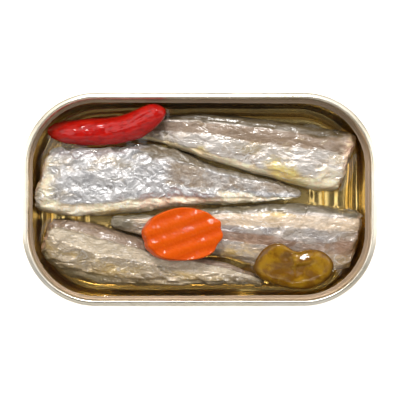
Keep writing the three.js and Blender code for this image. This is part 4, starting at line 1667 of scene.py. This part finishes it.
@dataclass
class GherkinSlice:
    """A two-lobed slice of gherkin that droops from the fish towards the wall."""

    x: float = 29.8
    y: float = -21.0
    thickness: float = 3.5
    height: float = 18.35
    slope: float = 0.32
    rows: int = 130
    columns: int = 260
    valley: float = 0.9
    left_lobe: float = 0.5
    right_lobe: float = 0.45
    crest_slope: float = 0.68
    hollow: float = 0.6
    swell: float = 0.2
    pip: float = 0.1
    seed: int = 51
    outline: tuple[tuple[float, float], ...] = (
        (11.8, 1), (8.7, 4.5), (4.7, 5.5), (0.3, 4.9), (-4.9, 7.4), (-8.8, 6.3), (-11.6, 3),
        (-12.6, -0.8), (-10.6, -3.7), (-6.2, -5.7), (-0.1, -7.1), (4.7, -7.1), (8.5, -5.5),
        (11.1, -2.9),
    )
    rings: tuple[tuple[float, float], ...] = (
        (0.02, -0.34), (0.25, -0.36), (0.6, -0.46), (0.88, -0.42), (1.0, -0.16), (1.0, 0.16), (0.9, 0.42),
        (0.7, 0.54), (0.42, 0.5), (0.18, 0.34), (0.02, 0.3),
    )

    def surface(self) -> Surface:
        """Rings from the middle of the underside, round the edge, to the middle of the top.

        A valley runs from the notch through the middle between the lobes, a patch of the right
        lobe slopes to the north, a seed hollow lies on the left lobe, and the flesh swells and
        sinks with smooth noise.

        Returns:
            The closed surface, with the skin's edge and the seeds as values.
        """
        stops = np.c_[np.array(self.rings), np.zeros(len(self.rings))]
        ring = spline(stops, np.linspace(0.0, 1.0, self.rows))
        out, up = ring[:, :1], ring[:, 1:2]
        rim = closed_spline(np.array(self.outline), np.arange(self.columns) / self.columns)
        x, y = rim[None, :, 0] * out, rim[None, :, 1] * out
        top = smoothstep(0.0, 0.3, up)
        grain = Grain(self.seed)
        north = y - 2.9 - 0.2 * (x - 2.5)
        on_crest = np.exp(-((north / 2.0) ** 4) - ((x - 2.4) / 3.2) ** 4)
        crest = -self.crest_slope * north * on_crest
        valley = -self.valley * bell(x - 0.1 * y, -0.1, 1.5) * smoothstep(-6.5, 2.5, y)
        valley *= 1.0 - 0.9 * on_crest
        left = self.left_lobe * bell(x, -5.2, 4.6) * bell(y, 1.0, 4.4)
        right = self.right_lobe * bell(x, 5.6, 4.4) * bell(y, -1.2, 3.8)
        hollow = -self.hollow * bell(x, -2.9, 1.3) * bell(y, 3.0, 1.2)
        swell = self.swell * grain.layered(np.stack([x / 4.5, y / 4.0, 0 * x], axis=-1), 2)
        crests = self.pip * grain.ridged(np.stack([x / 1.6, y / 1.2, 0 * x + 2], axis=-1), 2)
        pips = crests * bell(x, 0.0, 8.0) * bell(y, -0.5, 3.4) * (1.0 - on_crest)
        relief = top * (valley + left + right + crest + hollow + swell + pips)
        z = up * self.thickness + relief * smoothstep(1.0, 0.75, out)
        points = np.stack([self.x + x, self.y + y, self.height + z + self.slope * y], axis=-1)
        edge = smoothstep(0.86, 1.0, out) + 0 * x
        seed = smoothstep(0.05, 0.16, pips) * 0.7
        return Surface(points, values={"edge": edge, "seed": seed})

    def build(self) -> Surface:
        """Makes the slice and dresses it.

        Returns:
            Its surface, which the oil's skin climbs.
        """
        surface = self.surface()
        add_piece("gherkin_flesh_slice", surface.mesh("gherkin_flesh_slice"),
                  GherkinFlesh().material(), "gherkin_slice")
        return surface


@dataclass
class OilPool:
    """The oil up to its level, climbing whatever it wets."""

    shell: TinShell
    wetted: list[Surface]
    level: float = 16.1
    climb: float = 1.5
    least_climb: float = 0.3
    wet_spots: tuple[tuple[float, float, float], ...] = (
        (-30.5, 28.0, 7.0), (-30.0, -27.5, 6.5), (46.7, 19.5, 4.0), (40.0, -26.0, 5.0),
        (37.5, 26.5, 4.0), (-33.0, 17.3, 8.0), (-20.0, 17.5, 2.5), (-50.0, -12.0, 4.0),
    )
    into_metal: float = 0.12
    lattice_half: tuple[float, float] = (54.4, 32.8)
    capillary: float = 1.7
    pitch: float = 0.34
    samples: int = 560
    rows: int = 150
    sweeps: int = 420
    smoothings: int = 2

    def tops(self) -> tuple[Array, Array, Array]:
        """The highest wetted surface over a square lattice.

        Returns:
            The lattice's x and y lines and the heights, with nothing as minus one.
        """
        across, along = (np.arange(-half, half + 0.01, self.pitch) for half in self.lattice_half)
        heights = np.full((len(across), len(along)), -1.0)
        for surface in self.wetted:
            points = surface.points.reshape(-1, 3)
            column = np.rint((points[:, 0] - across[0]) / self.pitch).astype(int)
            row = np.rint((points[:, 1] - along[0]) / self.pitch).astype(int)
            np.maximum.at(heights, (column, row), points[:, 2])
        return across, along, heights

    def meniscus(self) -> tuple[Array, Array, Array]:
        """The rise of the oil over its level.

        In still oil the rise h of a gentle meniscus obeys: Laplacian of h = h / c^2, with c the
        capillary length. It is held at the climb where a piece or the wall stands out of the oil
        and relaxed in between: each cell becomes the sum of its neighbours over 4 + (pitch/c)^2.
        The climb is full at the wet spots, by a bell of the distance, and least elsewhere.

        Returns:
            The lattice's x and y lines and the rise.
        """
        across, along, heights = self.tops()
        outline = self.shell.outline
        x, y = np.meshgrid(across, along, indexing="ij")
        over_x = np.maximum(np.abs(x) - (outline.length / 2 - outline.corner), 0.0)
        over_y = np.maximum(np.abs(y) - (outline.width / 2 - outline.corner), 0.0)
        inset = outline.corner - np.hypot(over_x, over_y)
        wall = self.shell.wall(self.level) + self.shell.sheet
        held = (heights > self.level + self.climb) | (inset < wall)
        wet = np.max([np.exp(-((x - at_x) ** 2 + (y - at_y) ** 2) / reach**2)
                      for at_x, at_y, reach in self.wet_spots], axis=0)
        climb = self.climb * (self.least_climb + (1.0 - self.least_climb) * wet)
        rise = np.where(held, climb, 0.0)
        share = 1.0 / (4.0 + (self.pitch / self.capillary) ** 2)
        for _ in range(self.sweeps):
            rise = np.where(held, climb, neighbours(rise) * share)
        for _ in range(self.smoothings):
            rise = 0.5 * rise + 0.125 * neighbours(rise)
        return across, along, rise

    def surface(self) -> Surface:
        """The pool as one profile carried round: top from the middle out, down the wall, floor.

        A ring of the top is the wall's ring drawn towards the middle by a share, lifted by the
        meniscus there. The sides and the floor lie a little inside the metal.

        Returns:
            The closed surface.
        """
        outline = Outline(samples=self.samples)
        across, along, rise = self.meniscus()
        inset = self.shell.wall(self.level) + self.shell.sheet - self.into_metal
        rim = outline.rings(np.array([inset]), np.array([self.level]))[0]
        share = (1 - (1 - np.linspace(0.01, 1.0, self.rows)) ** 1.08)[:, None, None]
        flat = rim[None, :, :2] * share
        column = np.clip((flat[..., 0] - across[0]) / self.pitch, 0, len(across) - 1.001)
        row = np.clip((flat[..., 1] - along[0]) / self.pitch, 0, len(along) - 1.001)
        height = self.level + between(rise, column, row)
        top = np.concatenate([flat, height[..., None]], axis=-1)
        profile = self.shell.inner_profile()
        down = profile[profile[:, 1] < self.level - 0.5] - self.into_metal
        sides = outline.rings(down[:, 0], down[:, 1])
        return Surface(np.concatenate([top, sides]))

    def build(self) -> None:
        """Makes the pool and dresses it."""
        add_piece("oil_pool", self.surface().mesh("oil_pool"), GoldenOil().material(), "oil")


@dataclass(frozen=True)
class Softbox:
    """A rectangular light: its place and size in metres, its watts, and if the oil shows it."""

    name: str
    place: tuple[float, float, float]
    size: tuple[float, float]
    power: float
    through_oil: bool = True

    def build(self) -> None:
        """Makes the light, turned to the tin."""
        data = bpy.data.lights.new(self.name, "AREA")
        data.shape = "RECTANGLE"
        data.size, data.size_y = self.size
        data.energy = self.power
        light = bpy.data.objects.new(self.name, data)
        light.visible_transmission = self.through_oil
        light.location = self.place
        aim = -light.location
        light.rotation_euler = aim.to_track_quat("-Z", "Y").to_euler()
        bpy.context.scene.collection.objects.link(light)


@dataclass
class Studio:
    """A pale floor, a soft sky that is dim overhead, softboxes, and the camera above the tin."""

    camera_height: float = 0.315
    camera_offset: tuple[float, float] = (0.00012, -0.0002)
    frame_width: float = 0.1223
    frame_distance: float = 0.290
    sensor: float = 36.0
    floor_radii: tuple[float, ...] = (20.0, 80.0, 300.0, 1000.0, 2000.0)
    floor_sides: int = 96
    sky_tint: Colour = (1.0, 0.99, 0.97)
    sky_levels: tuple[tuple[str, float], ...] = (
        ("From Min", 0.6), ("From Max", 0.95), ("To Min", 0.42), ("To Max", 0.09),
    )
    boxes: tuple[Softbox, ...] = (
        Softbox("north_key", (-0.04, 0.49, 0.69), (0.21, 0.13), 4.2),
        Softbox("south_fill", (0.0, -0.62, 0.52), (1.40, 0.26), 0.5, through_oil=False),
        Softbox("north_strip", (0.0, 0.62, 0.66), (1.60, 0.36), 2.3),
        Softbox("west_strip", (-0.62, 0.10, 0.50), (0.42, 1.20), 2.3),
        Softbox("east_strip", (0.62, 0.10, 0.50), (0.42, 1.20), 2.2),
    )

    def floor(self) -> None:
        """A round pale floor, four metres across, as rings about the tin with the middle closed."""
        angle = np.arange(self.floor_sides) / self.floor_sides * 2 * math.pi
        radius = np.array(self.floor_radii)[:, None]
        points = np.stack([radius * np.cos(angle), radius * np.sin(angle), 0 * radius * angle], axis=-1)
        top = Surface(points)
        quads, fans = top.quads()[:, ::-1], top.fans()[:self.floor_sides, ::-1]
        mesh = bpy.data.meshes.new("studio_floor")
        mesh.from_pydata((top.flat(points)[:-1] * MM).tolist(), [], quads.tolist() + fans.tolist())
        floor = bpy.data.objects.new("studio_floor", mesh)
        bpy.context.scene.collection.objects.link(floor)
        mesh.materials.append(PaleFloor().material())

    def sky(self) -> None:
        """A sky that is bright near the horizon and dim overhead."""
        world = bpy.data.worlds.new("studio_sky")
        world.use_nodes = True
        bpy.context.scene.world = world
        tree = world.node_tree
        tree.nodes.clear()
        place = tree.nodes.new("ShaderNodeTexCoord")
        split = tree.nodes.new("ShaderNodeSeparateXYZ")
        tree.links.new(place.outputs["Generated"], split.inputs[0])
        level = tree.nodes.new("ShaderNodeMapRange")
        level.interpolation_type = "SMOOTHSTEP"
        tree.links.new(split.outputs["Z"], level.inputs["Value"])
        for key, number in self.sky_levels:
            level.inputs[key].default_value = number
        shader = tree.nodes.new("ShaderNodeBackground")
        shader.inputs["Color"].default_value = (*self.sky_tint, 1.0)
        tree.links.new(level.outputs[0], shader.inputs["Strength"])
        output = tree.nodes.new("ShaderNodeOutputWorld")
        tree.links.new(shader.outputs[0], output.inputs["Surface"])

    def camera(self) -> None:
        """A camera straight above the tin, with the photograph's frame."""
        data = bpy.data.cameras.new("camera")
        data.sensor_fit = "HORIZONTAL"
        data.sensor_width = self.sensor
        data.lens = self.sensor * self.frame_distance / self.frame_width
        camera = bpy.data.objects.new("camera", data)
        camera.location = (*self.camera_offset, self.camera_height)
        bpy.context.scene.collection.objects.link(camera)
        bpy.context.scene.camera = camera

    def build(self) -> None:
        """Makes the floor, the sky, the lights and the camera."""
        self.floor()
        self.sky()
        for box in self.boxes:
            box.build()
        self.camera()
        settings = bpy.context.scene.view_settings
        settings.view_transform = "Standard"
        settings.look = "None"


def main() -> None:
    """Builds the tin, its fish, the toppings, the oil and the studio, in that order."""
    logging.basicConfig(level=logging.INFO, format="%(name)s: %(message)s")
    shell = TinShell()
    shell.build()
    wetted = [fish.build() for fish in sardines()]
    wetted.append(Chili().build())
    CarrotSlice().build()
    wetted.append(GherkinSlice().build())
    OilPool(shell, wetted).build()
    Studio().build()


if __name__ == "__main__":
    main()
